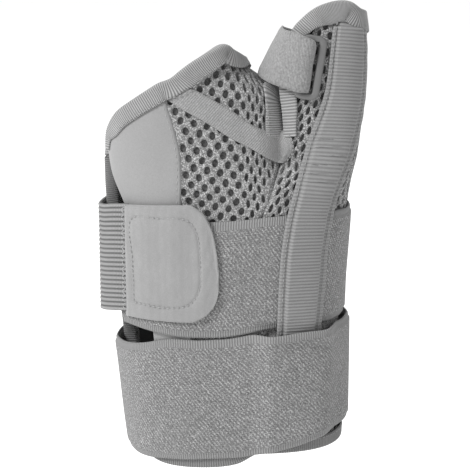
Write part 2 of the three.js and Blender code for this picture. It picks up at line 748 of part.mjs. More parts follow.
// How far the stay tape lifts off the cloth where the middle strap passes under it
function tapeLift(z) {
  const foot = ease(0.0025, 0.035, z / TALL)
  const head = ease(STRAP_LEVELS.middleHigh, STRAP_LEVELS.middleHigh + 0.035, z / TALL)
  return TAPE_OFF + (ELASTIC + STRAP_APART) * foot * (1 - head)
}
function overTape(turn, z) {
  const across = lowerHoop.at(turn, z).x / SPAN
  const over = ease(0.06, 0.17, across) * (1 - ease(0.37, 0.46, across))
  return over * ease(0, 0.2, forward(turn)) * (tapeLift(z) + TAPE_RIB)
}

const tabTurn = middleHoop.front(HOOK_TAB[0].across * SPAN, 0.2 * TALL)
add('middle_strap', band(middleHoop, tabTurn - 0.03, 1.8, 32, middleHeights,
  () => 0, ELASTIC, SELVEDGE, SELVEDGE_WIDTH), 'elastic')
add('side_webbing', band(middleHoop, -0.24, tabTurn - 0.004, 9, webbingHeights,
  () => ELASTIC + GAP, WEBBING, WEBBING * 0.8, SELVEDGE_WIDTH), 'webbing')

const LAP = { from: -0.45, to: 1.68 }
const lapLift = turn => (ELASTIC + GAP) * ease(1.46, 1.54, turn)
add('lower_strap', band(lowerHoop, LAP.from, LAP.to, 46, lowerHeights,
  (turn, z) => overTape(turn, z) + lapLift(turn), ELASTIC, SELVEDGE, SELVEDGE_WIDTH), 'elastic')

const tabLow = along(HOOK_TAB, 'across', 'low')
const tabHigh = along(HOOK_TAB, 'across', 'high')
const tabEnd = HOOK_TAB[HOOK_TAB.length - 1].across
const tabPlace = level => (u, v) => {
  const across = THREE.MathUtils.lerp(HOOK_TAB[0].across, tabEnd, 1 - (1 - u) ** 2)
  const z = TALL * THREE.MathUtils.lerp(tabLow(across), tabHigh(across), v)
  return middleHoop.off(middleHoop.front(across * SPAN, z), z, level)
}
add('hook_tab', wall(10, 6, tabPlace(ELASTIC + GAP + TAB), tabPlace(ELASTIC + GAP)), 'tab')

// The stay tape: thin margins and a thick ribbed middle that holds the stay
const tapeLeft = along(TAPE, 'up', 'left')
const tapeRight = along(TAPE, 'up', 'right')
const TAPE_STEPS = [
  { share: 0, thick: TAPE_EDGE },
  { share: 0.14, thick: TAPE_EDGE },
  { share: 0.20, thick: TAPE_RIB },
  { share: 0.50, thick: TAPE_RIB },
  { share: 0.80, thick: TAPE_RIB },
  { share: 0.86, thick: TAPE_EDGE },
  { share: 1, thick: TAPE_EDGE },
]
const tapePlace = face => (u, v) => {
  const step = TAPE_STEPS[Math.round(u * (TAPE_STEPS.length - 1))]
  const top = TAPE[TAPE.length - 1].up - 0.036 * step.share ** 2
  const up = THREE.MathUtils.lerp(TAPE[0].up, top, v)
  const x = SPAN * THREE.MathUtils.lerp(tapeLeft(up), tapeRight(up), step.share)
  const z = up * TALL
  return thumb.off(thumb.front(x, z), z, tapeLift(z) + face * step.thick)
}
add('stay_tape', wall(TAPE_STEPS.length - 1, 28, tapePlace(1), tapePlace(0)), 'tape')

// The diagonal band over the palm mesh
const railOf = key => {
  const points = DIAGONAL.map(row => new THREE.Vector3(row[key].across * SPAN, 0, row[key].up * TALL))
  const curve = new THREE.CatmullRomCurve3(points)
  return share => curve.getPoint(share)
}
const diagonalLow = railOf('low')
const diagonalHigh = railOf('high')
const DIAGONAL_THICK = 1.1
const diagonalPlace = level => (u, v) => {
  const spot = diagonalLow(u).lerp(diagonalHigh(u), v)
  return palm.off(palm.front(spot.x, spot.z), spot.z, level)
}
add('diagonal_band', wall(8, 2, diagonalPlace(0.4 + DIAGONAL_THICK), diagonalPlace(0.4)), 'binding')

// The patch over the foot of the web, where palm, thumb and band are sewn together
const PATCH_THICK = 1.2
const PATCH_OFF = 2.4
const patchLeft = along(PATCH, 'up', 'left')
const patchRight = along(PATCH, 'up', 'right')
const patchPlace = level => (u, v) => {
  const up = THREE.MathUtils.lerp(PATCH[0].up, PATCH[PATCH.length - 1].up, v)
  const x = SPAN * THREE.MathUtils.lerp(patchLeft(up), patchRight(up), u)
  const z = up * TALL
  const reach = (palm.reach(x, z) ** 8 + thumb.depthAt(x, z) ** 8) ** (1 / 8)
  return new THREE.Vector3(x, -reach - level, z)
}
add('web_patch', wall(8, 5, patchPlace(PATCH_OFF + PATCH_THICK), patchPlace(PATCH_OFF)), 'binding')

// The plastic ring on the thumb's front, and the strap that runs through its slot
function ringShape() {
  const rounded = (path, wide, tall, corner) => {
    const [x, y] = [wide / 2, tall / 2]
    path.moveTo(x, y - corner).absarc(x - corner, y - corner, corner, 0, Math.PI / 2, false)
    path.absarc(corner - x, y - corner, corner, Math.PI / 2, Math.PI, false)
    path.absarc(corner - x, corner - y, corner, Math.PI, 1.5 * Math.PI, false)
    path.absarc(x - corner, corner - y, corner, 1.5 * Math.PI, 2 * Math.PI, false)
    return path
  }
  const shape = rounded(new THREE.Shape(), RING_WIDE, RING_TALL, RING_CORNER)
  const [wide, tall] = [RING_WIDE - 2 * RING_BAR, RING_TALL - 2 * RING_BAR * 0.8]
  shape.holes.push(rounded(new THREE.Path(), wide, tall, RING_CORNER * 0.4))
  return shape
}
const ringBody = new THREE.ExtrudeGeometry(ringShape(), {
  depth: RING_THICK, bevelEnabled: false, curveSegments: 4,
})
ringBody.translate(0, 0, -RING_THICK / 2)
const ring = add('strap_ring', ringBody, 'plastic')
const ringUp = new THREE.Vector3(RING_LEAN.across, RING_LEAN.depth, 1).normalize()
const ringSide = new THREE.Vector3(1, RING_TILT, 0).projectOnPlane(ringUp).normalize()
const ringOut = new THREE.Vector3().crossVectors(ringSide, ringUp)
ring.quaternion.setFromRotationMatrix(new THREE.Matrix4().makeBasis(ringSide, ringUp, ringOut))
ring.position.set(RING_PLACE.across * SPAN, RING_PLACE.depth * SPAN, RING_PLACE.up * TALL)

const ringUnit = new THREE.Vector3(RING_WIDE, RING_WIDE, RING_TALL)
const bodyUnit = new THREE.Vector3(SPAN, SPAN, TALL)
const strapRail = key => {
  const near = STRAP_AT_RING.map(row => new THREE.Vector3(...row[key]).multiply(ringUnit))
  const far = STRAP_ROUND_THUMB.map(row => new THREE.Vector3(...row[key]).multiply(bodyUnit))
  const curve = new THREE.CatmullRomCurve3([...near.map(point => point.add(ring.position)), ...far])
  return share => curve.getPoint(share)
}
const strapFoot = strapRail('foot')
const strapHead = strapRail('head')
const strapPlace = level => (u, v) => {
  const middle = share => strapFoot(share).lerp(strapHead(share), 0.5)
  const run = middle(Math.min(1, u + 1e-3)).sub(middle(Math.max(0, u - 1e-3)))
  const across = strapHead(u).sub(strapFoot(u))
  const out = new THREE.Vector3().crossVectors(run, across).normalize()
  return strapFoot(u).lerp(strapHead(u), v).addScaledVector(out, level)
}
add('thumb_strap', wall(34, 2, strapPlace(THUMB_STRAP / 2), strapPlace(-THUMB_STRAP / 2)), 'strap')

export default splint
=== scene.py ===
"""A thumb spica splint: its cloth, nets, straps and ring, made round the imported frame.

Shapes are worked out in millimetres on the surfaces of the CAD part, and made in metres.
"""
import math

import bpy
import numpy as np
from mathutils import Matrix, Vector, geometry


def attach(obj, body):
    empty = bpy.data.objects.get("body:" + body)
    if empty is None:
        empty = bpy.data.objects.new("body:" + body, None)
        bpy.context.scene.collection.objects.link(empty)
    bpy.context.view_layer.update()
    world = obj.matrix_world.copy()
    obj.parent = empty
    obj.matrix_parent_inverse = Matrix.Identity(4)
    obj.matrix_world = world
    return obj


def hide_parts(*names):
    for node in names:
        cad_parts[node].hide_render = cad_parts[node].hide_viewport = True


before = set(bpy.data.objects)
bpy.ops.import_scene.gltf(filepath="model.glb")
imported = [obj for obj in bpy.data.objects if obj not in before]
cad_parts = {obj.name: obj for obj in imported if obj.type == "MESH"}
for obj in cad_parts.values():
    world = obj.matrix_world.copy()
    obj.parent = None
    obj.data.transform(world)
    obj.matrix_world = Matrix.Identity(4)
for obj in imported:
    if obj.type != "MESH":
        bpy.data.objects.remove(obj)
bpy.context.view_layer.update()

MM = 0.001

# Driving sizes in millimetres, as in the part's source, but for the widths of the bindings and
# the selvedges, which follow the photograph

SPAN = 100.0
TALL = 200.0
MESH = 2.2
PLUSH = 2.8
CHANNEL_GAP = 0.6
BINDING = 0.9
TOP_BINDING_WIDTH = 6.8
THUMB_BINDING_WIDTH = 8.0
WEB_BINDING_WIDTH = 8.6
HEM_BINDING_WIDTH = 5.0
ELASTIC = 1.8
SELVEDGE = 1.05
SELVEDGE_WIDTH = 2.6
WEBBING = 1.5
TAB = 1.8
TAPE_EDGE = 1.1
TAPE_RIB = 2.4
THUMB_STRAP = 1.5
RING_TALL = 28.0
RING_WIDE = 11.6
RING_BAR = 3.4
RING_THICK = 2.4
RING_CORNER = 3.6
RING_SQUARENESS = 0.7
BOXINESS = 0.25


def columns(names, rows):
    """A table as its named columns."""
    return {name: np.array(column, float) for name, column in zip(names.split(), zip(*rows))}


# Outlines and sections, as shares of SPAN across and deep and of TALL up

PALM = columns("up left right depth", [
    (-0.32, -0.435, 0.470, 0.262), (-0.25, -0.450, 0.478, 0.265), (-0.12, -0.488, 0.488, 0.270),
    (0.00, -0.505, 0.475, 0.278), (0.10, -0.530, 0.478, 0.290), (0.20, -0.555, 0.488, 0.305),
    (0.285, -0.570, 0.500, 0.315), (0.35, -0.575, 0.370, 0.312), (0.42, -0.575, 0.255, 0.292),
    (0.465, -0.575, 0.243, 0.275), (0.515, -0.572, 0.225, 0.260), (0.545, -0.568, 0.200, 0.252),
    (0.565, -0.563, 0.165, 0.246), (0.590, -0.555, 0.092, 0.240), (0.605, -0.552, 0.052, 0.236),
    (0.625, -0.545, 0.030, 0.230), (0.660, -0.535, 0.012, 0.220), (0.700, -0.525, -0.005, 0.210),
])
THUMB_START = 0.285
FORK = 0.42
THUMB = columns("up left", [
    (-0.32, -0.300), (0.00, -0.260), (0.15, -0.180), (0.285, -0.060), (0.35, 0.060),
    (0.42, 0.165), (0.465, 0.158), (0.515, 0.145), (0.565, 0.140), (0.600, 0.148),
    (0.650, 0.185), (0.700, 0.228), (0.760, 0.270),
])
THUMB_RIGHT = columns("up right", [
    (0.285, 0.500), (0.35, 0.519), (0.385, 0.533), (0.42, 0.548), (0.515, 0.568), (0.565, 0.574),
    (0.650, 0.578), (0.700, 0.564), (0.760, 0.545),
])
THUMB_DEPTH = columns("up depth", [
    (0.285, 0.262), (0.35, 0.225), (0.42, 0.200), (0.50, 0.172), (0.60, 0.155), (0.70, 0.140),
    (0.76, 0.122),
])
SEAM = columns("across up", [
    (0.150, -0.30), (0.150, 0.00), (0.138, 0.15), (0.117, 0.285), (0.158, 0.35), (0.206, 0.42),
])
PANEL_LEFT = columns("across up", [
    (-0.400, -0.264), (-0.385, -0.150), (-0.362, 0.020), (-0.415, 0.170), (-0.484, 0.325),
    (-0.535, 0.385), (-0.552, 0.435),
])
PANEL_TOP = columns("across up", [
    (-0.552, 0.435), (-0.548, 0.468), (-0.510, 0.512), (-0.448, 0.541), (-0.330, 0.581),
])
PANEL_SEAM = columns("across up", [
    (0.098, -0.252), (-0.120, -0.120), (-0.210, 0.020), (-0.240, 0.300), (-0.250, 0.420),
    (-0.272, 0.480), (-0.310, 0.545), (-0.330, 0.581),
])
LOBE_HEM = columns("across up", [
    (-0.400, -0.264), (-0.345, -0.282), (-0.182, -0.287), (0.000, -0.277), (0.098, -0.252),
])
MESH_TOP = columns("across up", [
    (-0.330, 0.581), (-0.275, 0.592), (-0.170, 0.630), (-0.060, 0.660), (-0.040, 0.659),
    (-0.018, 0.648),
])
WEB_EDGE = columns("across up", [
    (0.202, 0.420), (0.196, 0.440), (0.192, 0.465), (0.184, 0.515), (0.172, 0.545),
])
WEB_TOP = 0.561
CREST = 0.622
THUMB_CREST = 0.723
THUMB_EDGE = columns("across up", [
    (0.210, 0.420), (0.219, 0.440), (0.229, 0.465), (0.222, 0.515), (0.210, 0.565),
    (0.222, 0.630), (0.262, 0.690),
])
THUMB_TOP = columns("across up", [
    (0.262, 0.690), (0.300, 0.716), (0.350, 0.738), (0.430, 0.752), (0.490, 0.751),
    (0.530, 0.735),
])
TAPE = columns("up left right", [
    (-0.223, 0.180, 0.362), (0.060, 0.182, 0.366), (0.145, 0.187, 0.378), (0.237, 0.196, 0.386),
    (0.280, 0.212, 0.402), (0.317, 0.226, 0.414), (0.350, 0.247, 0.436), (0.390, 0.280, 0.484),
    (0.440, 0.303, 0.522), (0.488, 0.336, 0.544), (0.542, 0.379, 0.561), (0.600, 0.400, 0.565),
    (0.678, 0.414, 0.562), (0.727, 0.430, 0.552),
])
BAND_LOW = [(-0.286, 0.552), (-0.229, 0.534), (-0.130, 0.507), (-0.020, 0.472), (0.088, 0.442),
            (0.150, 0.422), (0.190, 0.412), (0.209, 0.411)]
BAND_HIGH = [(-0.250, 0.594), (-0.205, 0.584), (-0.110, 0.558), (-0.010, 0.528), (0.086, 0.494),
             (0.155, 0.480), (0.215, 0.478), (0.247, 0.464), (0.252, 0.442), (0.240, 0.426),
             (0.220, 0.414)]
HOOK_TAB = columns("across low high", [
    (-0.467, 0.067, 0.323), (-0.330, 0.064, 0.328), (-0.200, 0.063, 0.331),
    (-0.140, 0.075, 0.315), (-0.100, 0.095, 0.278), (-0.080, 0.115, 0.230),
    (-0.070, 0.140, 0.180),
])
TAB_SEAM = [
    (-0.432, 0.104), (-0.434, 0.200), (-0.432, 0.296), (-0.320, 0.301), (-0.200, 0.298),
    (-0.163, 0.270), (-0.150, 0.210), (-0.155, 0.140), (-0.200, 0.106), (-0.300, 0.097),
    (-0.432, 0.104),
]
# Foot and head of the thumb strap round the thumb, all three numbers as shares of TALL
THUMB_STRAP_PATH = [
    ((0.1365, -0.0945, 0.5695), (0.1470, -0.0835, 0.662)),
    ((0.1465, -0.0955, 0.569), (0.1600, -0.0860, 0.665)),
    ((0.155, -0.1015, 0.568), (0.1710, -0.0915, 0.671)),
    ((0.1565, -0.110, 0.5675), (0.1725, -0.100, 0.673)),
    ((0.150, -0.1185, 0.5675), (0.1680, -0.1100, 0.681)),
    ((0.133, -0.1220, 0.5695), (0.1510, -0.1125, 0.688)),
    ((0.1075, -0.1155, 0.5765), (0.1320, -0.1035, 0.696)),
    ((0.0770, -0.0985, 0.585), (0.1140, -0.086, 0.698)),
    ((0.056, -0.057, 0.5915), (0.1050, -0.0500, 0.697)),
    ((0.0510, -0.015, 0.594), (0.1040, -0.0125, 0.697)),
    ((0.058, 0.025, 0.594), (0.1060, 0.0250, 0.693)),
    ((0.076, 0.0675, 0.588), (0.1110, 0.0640, 0.685)),
    ((0.105, 0.101, 0.572), (0.1330, 0.0970, 0.674)),
    ((0.1375, 0.110, 0.563), (0.1620, 0.1050, 0.664)),
    ((0.1725, 0.101, 0.556), (0.1925, 0.1010, 0.656)),
]
RING_PLACE = (0.323, -0.2015, 0.62)
RING_LEAN = (0.16, 0.105)
RING_TILT = 0.1
HEM_LEVEL = -0.252
BACK_DROP = 0.06

# The turns at which the crest ends and at which the back side panel ends
CROSSING = 1.12
BACK_EDGE = 1.95

# More sizes in millimetres, and the share of the tape's length over which its bends are softened
WEBBING_PITCH = 2.1
TAPE_PITCH = 1.5
TAPE_WIDTH = 18.5
THUMB_STRAP_WIDTH = 24.4
RIB_PITCH = 0.95
RIB_DEEP = 0.24
TAPE_SOFTEN = 0.045


# Smooth lines

def smooth(table, of, by="up"):
    """A smooth line through a table's rows: the value of one column against another."""
    x, y = table[by], table[of]
    step = np.diff(y) / np.diff(x)
    slope = np.concatenate([step[:1], np.zeros(len(x) - 2), step[-1:]])
    product = step[:-1] * step[1:]
    total = np.where(product > 0, step[:-1] + step[1:], 1.0)
    slope[1:-1] = np.where(product > 0, 2 * product / total, 0.0)

    def value(at):
        at = np.asarray(at, float)
        i = np.clip(np.searchsorted(x, at, side="right") - 1, 0, len(x) - 2)
        width = x[i + 1] - x[i]
        within = bend((at - x[i]) / width, y[i], y[i + 1], slope[i] * width, slope[i + 1] * width)
        low = y[0] + slope[0] * (at - x[0])
        high = y[-1] + slope[-1] * (at - x[-1])
        return np.where(at < x[0], low, np.where(at > x[-1], high, within))

    return value


def unit(vectors):
    return vectors / np.linalg.norm(vectors, axis=-1, keepdims=True)


def bend(t, start, end, leave, arrive):
    """A cubic from start to end, as t goes from 0 to 1, with the slopes at which it leaves
    and arrives."""
    return (start * (1 + 2 * t) * (1 - t) ** 2 + end * t * t * (3 - 2 * t)
            + leave * t * (1 - t) ** 2 - arrive * t * t * (1 - t))


def pairs(first, second):
    """Points of two numbers, such as turn and height, from one array of each."""
    return np.stack(np.broadcast_arrays(first, second), -1)


def ease(start, end, value):
    """From 0 at start to 1 at end, smoothly, and level outside them."""
    t = np.clip((np.asarray(value, float) - start) / (end - start), 0, 1)
    return t * t * (3 - 2 * t)


def lengths(points):
    """Running length along a row of points."""
    return np.concatenate([[0], np.cumsum(np.linalg.norm(np.diff(points, axis=0), axis=1))])


def curve(points, steps=24):
    """A centripetal curve through points, read by its share of length."""
    p = np.array(points, float)
    p = np.vstack([2 * p[0] - p[1], p, 2 * p[-1] - p[-2]])
    made = [p[1]]
    for i in range(1, len(p) - 2):
        before, here, after, last = p[i - 1:i + 3]
        d0, d1, d2 = (max(math.sqrt(np.linalg.norm(b - a)), 1e-4)
                      for a, b in ((before, here), (here, after), (after, last)))
        m1 = ((here - before) / d0 - (after - before) / (d0 + d1) + (after - here) / d1) * d1
        m2 = ((after - here) / d1 - (last - here) / (d1 + d2) + (last - after) / d2) * d1
        t = (np.arange(1, steps + 1) / steps)[:, None]
        made.extend(bend(t, here, after, m1, m2))
    made = np.array(made)
    length = lengths(made)

    def at(share):
        reach = np.clip(share, 0, 1) * length[-1]
        return np.stack([np.interp(reach, length, made[:, k]) for k in range(made.shape[1])], -1)

    return at


# The surfaces that the cloth lies on

class Tube:
    """A tube of cloth. Its turn runs from 0 at the left over the front to 1 at the right, and
    over the back to 2."""

    def __init__(self, left, right, depth):
        self.left, self.right, self.depth = left, right, depth

    def middle(self, z):
        return (self.left(z) + self.right(z)) / 2

    def half(self, z):
        return (self.right(z) - self.left(z)) / 2

    def at(self, turn, z):
        turn, z = np.broadcast_arrays(np.asarray(turn, float), np.asarray(z, float))
        c, s = np.cos(np.pi * turn), np.sin(np.pi * turn)
        x = self.middle(z) - self.half(z) * c
        y = -self.depth(z) * s * (1 + BOXINESS * c * c)
        return np.stack([x, y, z], -1)

    def axes(self, turn, z):
        e = 1e-3
        way = (self.at(turn + e, z) - self.at(turn - e, z)) / (2 * e)
        rise = (self.at(turn, z + e) - self.at(turn, z - e)) / (2 * e)
        return way, rise, unit(np.cross(way, rise))

    def off(self, turn, z, distance):
        """Points at a distance outside the tube."""
        turn, z, distance = np.broadcast_arrays(turn, z, distance)
        return self.at(turn, z) + self.axes(turn, z)[2] * distance[..., None]

    def front(self, x, z):
        """The turn at which the front of the tube is at x."""
        share = np.clip((self.middle(z) - x) / self.half(z), -1, 1)
        return np.arccos(share) / np.pi

    def reach(self, x, z):
        """How far the tube stands out to the front at x."""
        c = np.clip((self.middle(z) - x) / self.half(z), -1, 1)
        return self.depth(z) * np.sqrt(1 - c * c) * (1 + BOXINESS * c * c)


def mm(table, of):
    """A smooth line through a table in millimetres, read by height."""
    line = smooth(table, of)
    return lambda z: SPAN * line(np.asarray(z, float) / TALL)


palm = Tube(mm(PALM, "left"), mm(PALM, "right"), mm(PALM, "depth"))


def body_right(z):
    return np.where(z < THUMB_START * TALL, palm.right(z), mm(THUMB_RIGHT, "right")(z))


def body_depth(z):
    return palm.depth(np.minimum(z, THUMB_START * TALL))


undivided = Tube(palm.left, body_right, body_depth)
seam_x = mm(SEAM, "across")


class ThumbTube(Tube):
    """It rises out of the undivided body and meets the palm's tube at the seam."""

    def blended(self, own, x, z):
        share = ease(THUMB_START * TALL, FORK * TALL, z)
        return share * own + (1 - share) * undivided.reach(x, z)

    def scale(self, z):
        low = np.minimum(z, FORK * TALL)
        x = seam_x(low)
        return palm.reach(x, low) / self.blended(self.reach(x, low), x, low)

    def depth_at(self, x, z):
        return self.scale(z) * self.blended(self.reach(x, z), x, z)

    def at(self, turn, z):
        point = super().at(turn, z)
        x, y, z = point[..., 0], point[..., 1], point[..., 2]
        depth = self.scale(z) * self.blended(np.abs(y), x, z)
        return np.stack([x, np.where(y > 0, depth, -depth), z], -1)


thumb = ThumbTube(mm(THUMB, "left"), body_right, mm(THUMB_DEPTH, "depth"))

MIDDLE_LEFT = -0.582 * SPAN
HOOP_OFF = 1.1


def lower_left(z):
    share = (np.asarray(z, float) + 0.29 * TALL) / (0.24 * TALL)
    return SPAN * (-0.480 - 0.05 * share)


def over_hem(z):
    return 1.7 * (1 - ease(-0.225 * TALL, -0.15 * TALL, z))


middle_hoop = Tube(lambda z: MIDDLE_LEFT + 0 * np.asarray(z, float),
                   lambda z: body_right(z) + HOOP_OFF - 0.1, lambda z: body_depth(z) + HOOP_OFF)
lower_hoop = Tube(lower_left, lambda z: 0.508 * SPAN + 0 * np.asarray(z, float),
                  lambda z: body_depth(z) + HOOP_OFF + over_hem(z))


# Points and edges on the tubes, as turns and heights

def on_front(tube, table):
    """Turns and heights on the front of a tube from a table of across and up."""
    z = table["up"] * TALL
    return pairs(tube.front(table["across"] * SPAN, z), z)


def on_back(points, drop=None):
    """The same points on the back of the tube, lowered by what drop says."""
    lowered = points[:, 1] - (0 if drop is None else drop(points[:, 1]))
    return pairs(2 - points[:, 0], lowered)


def edge_line(points):
    """A line through turn and height points, read by its share of length."""
    line = curve(np.array(points, float) * (SPAN, 1))
    return lambda share: line(share) / (SPAN, 1)


def seam_line(tube, back):
    """The line from the hem to the fork at which palm and thumb meet."""
    def at(share):
        z = TALL * (HEM_LEVEL + (FORK - HEM_LEVEL) * np.asarray(share, float))
        turn = tube.front(seam_x(z), z)
        return pairs(2 - turn if back else turn, z)
    return at


def side_drop(z):
    return BACK_DROP * TALL * ease(0.35 * TALL, 0.62 * TALL, z)


front_left = on_front(palm, PANEL_LEFT)
front_top = on_front(palm, PANEL_TOP)
front_seam = on_front(palm, PANEL_SEAM)
lobe_hem = on_front(palm, LOBE_HEM)
crest = np.array([(1, CREST * TALL), (CROSSING, (CREST - 0.008) * TALL)])
mesh_top = np.vstack([on_front(palm, MESH_TOP), crest])
web_front = on_front(palm, WEB_EDGE)
web_top = np.array([(1, WEB_TOP * TALL)])
web_end = np.array([(CROSSING, (WEB_TOP - 0.015) * TALL)])
hem_z = HEM_LEVEL * TALL
hem_seam = np.array([(palm.front(seam_x(hem_z), hem_z), hem_z)])
hem_thumb = np.array([(thumb.front(seam_x(hem_z), hem_z), hem_z)])
thumb_edge = on_front(thumb, THUMB_EDGE)
thumb_top = on_front(thumb, THUMB_TOP)
thumb_crest = np.array([(1, THUMB_CREST * TALL)])
thumb_back_top = np.array([(1.25, 0.700 * TALL), (1.5, 0.684 * TALL), (1.66, 0.675 * TALL)])
thumb_back_edge = np.vstack([[(1.76, 0.65 * TALL)], on_back(thumb_edge)[:5][::-1]])
back_seam = on_back(front_seam, side_drop)
back_top = np.vstack([crest[1:], [(1.25, 0.600 * TALL), (1.40, 0.568 * TALL)], back_seam[-1:]])
back_corner = (BACK_EDGE, 0.40 * TALL)
back_foot = (BACK_EDGE, hem_z)
back_panel_top = np.vstack([
    back_seam[-1:],
    [(1.66, 0.510 * TALL), (1.76, 0.485 * TALL), (1.86, 0.452 * TALL), (1.93, 0.42 * TALL)],
    [back_corner],
])


# Making meshes

# Units of a piece's flat cloth, its texture's coordinates, to a millimetre
CLOTH_SCALE = 0.01


def linked(name, data):
    made = bpy.data.objects.new(name, data)
    bpy.context.scene.collection.objects.link(made)
    return made


def make_piece(name, points, faces, look, cloth=None):
    """A smooth mesh piece in metres. cloth holds each point's place in its flat cloth."""
    mesh = bpy.data.meshes.new(name)
    mesh.from_pydata((np.asarray(points, float) * MM).tolist(), [], faces)
    mesh.polygons.foreach_set("use_smooth", [True] * len(mesh.polygons))
    if cloth is not None:
        layer = mesh.uv_layers.new(name="Cloth")
        corner = np.empty(len(mesh.loops), int)
        mesh.loops.foreach_get("vertex_index", corner)
        layer.data.foreach_set("uv", (np.asarray(cloth, float)[corner] * CLOTH_SCALE).ravel())
    mesh.validate()
    mesh.update()
    piece = linked(name, mesh)
    mesh.materials.append(look)
    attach(piece, "root")
    return piece


def turned_out(points, faces):
    """The faces of a closed body, turned so that its volume is positive."""
    points = np.asarray(points, float)
    volume = 0.0
    for size in (3, 4):
        same = np.array([face for face in faces if len(face) == size], int)
        if len(same):
            for k in range(1, size - 1):
                a, b, c = points[same[:, 0]], points[same[:, k]], points[same[:, k + 1]]
                volume += float((a * np.cross(b, c)).sum())
    return [face[::-1] for face in faces] if volume < 0 else faces


def swept(name, stations, look, cloth, closed=False):
    """A closed section carried along stations: points by station and place in the section."""
    count, size = stations.shape[:2]
    points = stations.reshape(-1, 3)
    faces = []
    for n in range(count if closed else count - 1):
        a, b = n * size, (n + 1) % count * size
        faces += [(a + k, a + (k + 1) % size, b + (k + 1) % size, b + k) for k in range(size)]
    if not closed:
        cloth = np.vstack([cloth.reshape(-1, 2), cloth[0].mean(0), cloth[-1].mean(0)])
        ends = [stations[0].mean(0), stations[-1].mean(0)]
        points = np.vstack([points, ends])
        tip, last = len(points) - 2, (count - 1) * size
        faces += [(tip, (k + 1) % size, k) for k in range(size)]
        faces += [(tip + 1, last + k, last + (k + 1) % size) for k in range(size)]
    return make_piece(name, points, turned_out(points, faces), look, cloth.reshape(-1, 2))


def second_look(piece, look, which):
    """Gives the marked faces of a piece another look."""
    piece.data.materials.append(look)
    piece.data.polygons.foreach_set("material_index", np.asarray(which, int))


def wall(name, outer, inner, look, cloth, inner_look=None):
    """A wall between an outer and an inner surface, each points by column and row."""
    points = np.vstack([outer.reshape(-1, 3), inner.reshape(-1, 3)])
    half = outer.shape[0] * outer.shape[1]
    place = np.arange(half).reshape(outer.shape[:2])
    a, b, c, d = place[:-1, :-1], place[1:, :-1], place[1:, 1:], place[:-1, 1:]
    quads = np.stack([a, b, c, d], -1).reshape(-1, 4)
    faces = quads.tolist() + (quads[:, ::-1] + half).tolist()
    rim = [*place[:-1, 0], *place[-1, :-1], *place[:0:-1, -1], *place[0, :0:-1]]
    for i, first in enumerate(rim):
        second = rim[(i + 1) % len(rim)]
        faces.append((int(first), int(first) + half, int(second) + half, int(second)))
    flat = cloth.reshape(-1, 2)
    piece = make_piece(name, points, turned_out(points, faces), look, np.vstack([flat, flat]))
    if inner_look is not None:
        second_look(piece, inner_look, np.arange(len(faces)) >= len(quads))
    return piece


def rounded(distance, radius):
    """How far a rounded edge drops at a distance from the edge."""
    near = np.clip(radius - distance, 0, radius)
    return radius - np.sqrt(radius * radius - near * near)


def soft_waves(a, b, size, seed):
    """Low waves over a cloth, between about -1 and 1, wave lengths about size."""
    own = np.random.default_rng(seed)
    total = 0
    for _ in range(6):
        angle, phase = own.uniform(0, math.pi), own.uniform(0, 2 * math.pi)
        number = 2 * math.pi / (size * own.uniform(0.7, 1.6))
        total = total + np.sin(number * (a * math.cos(angle) + b * math.sin(angle)) + phase)
    return total / 3


# Materials

# The scale at which a wave texture has one band to each unit of length
ONE_WAVE = 0.314159


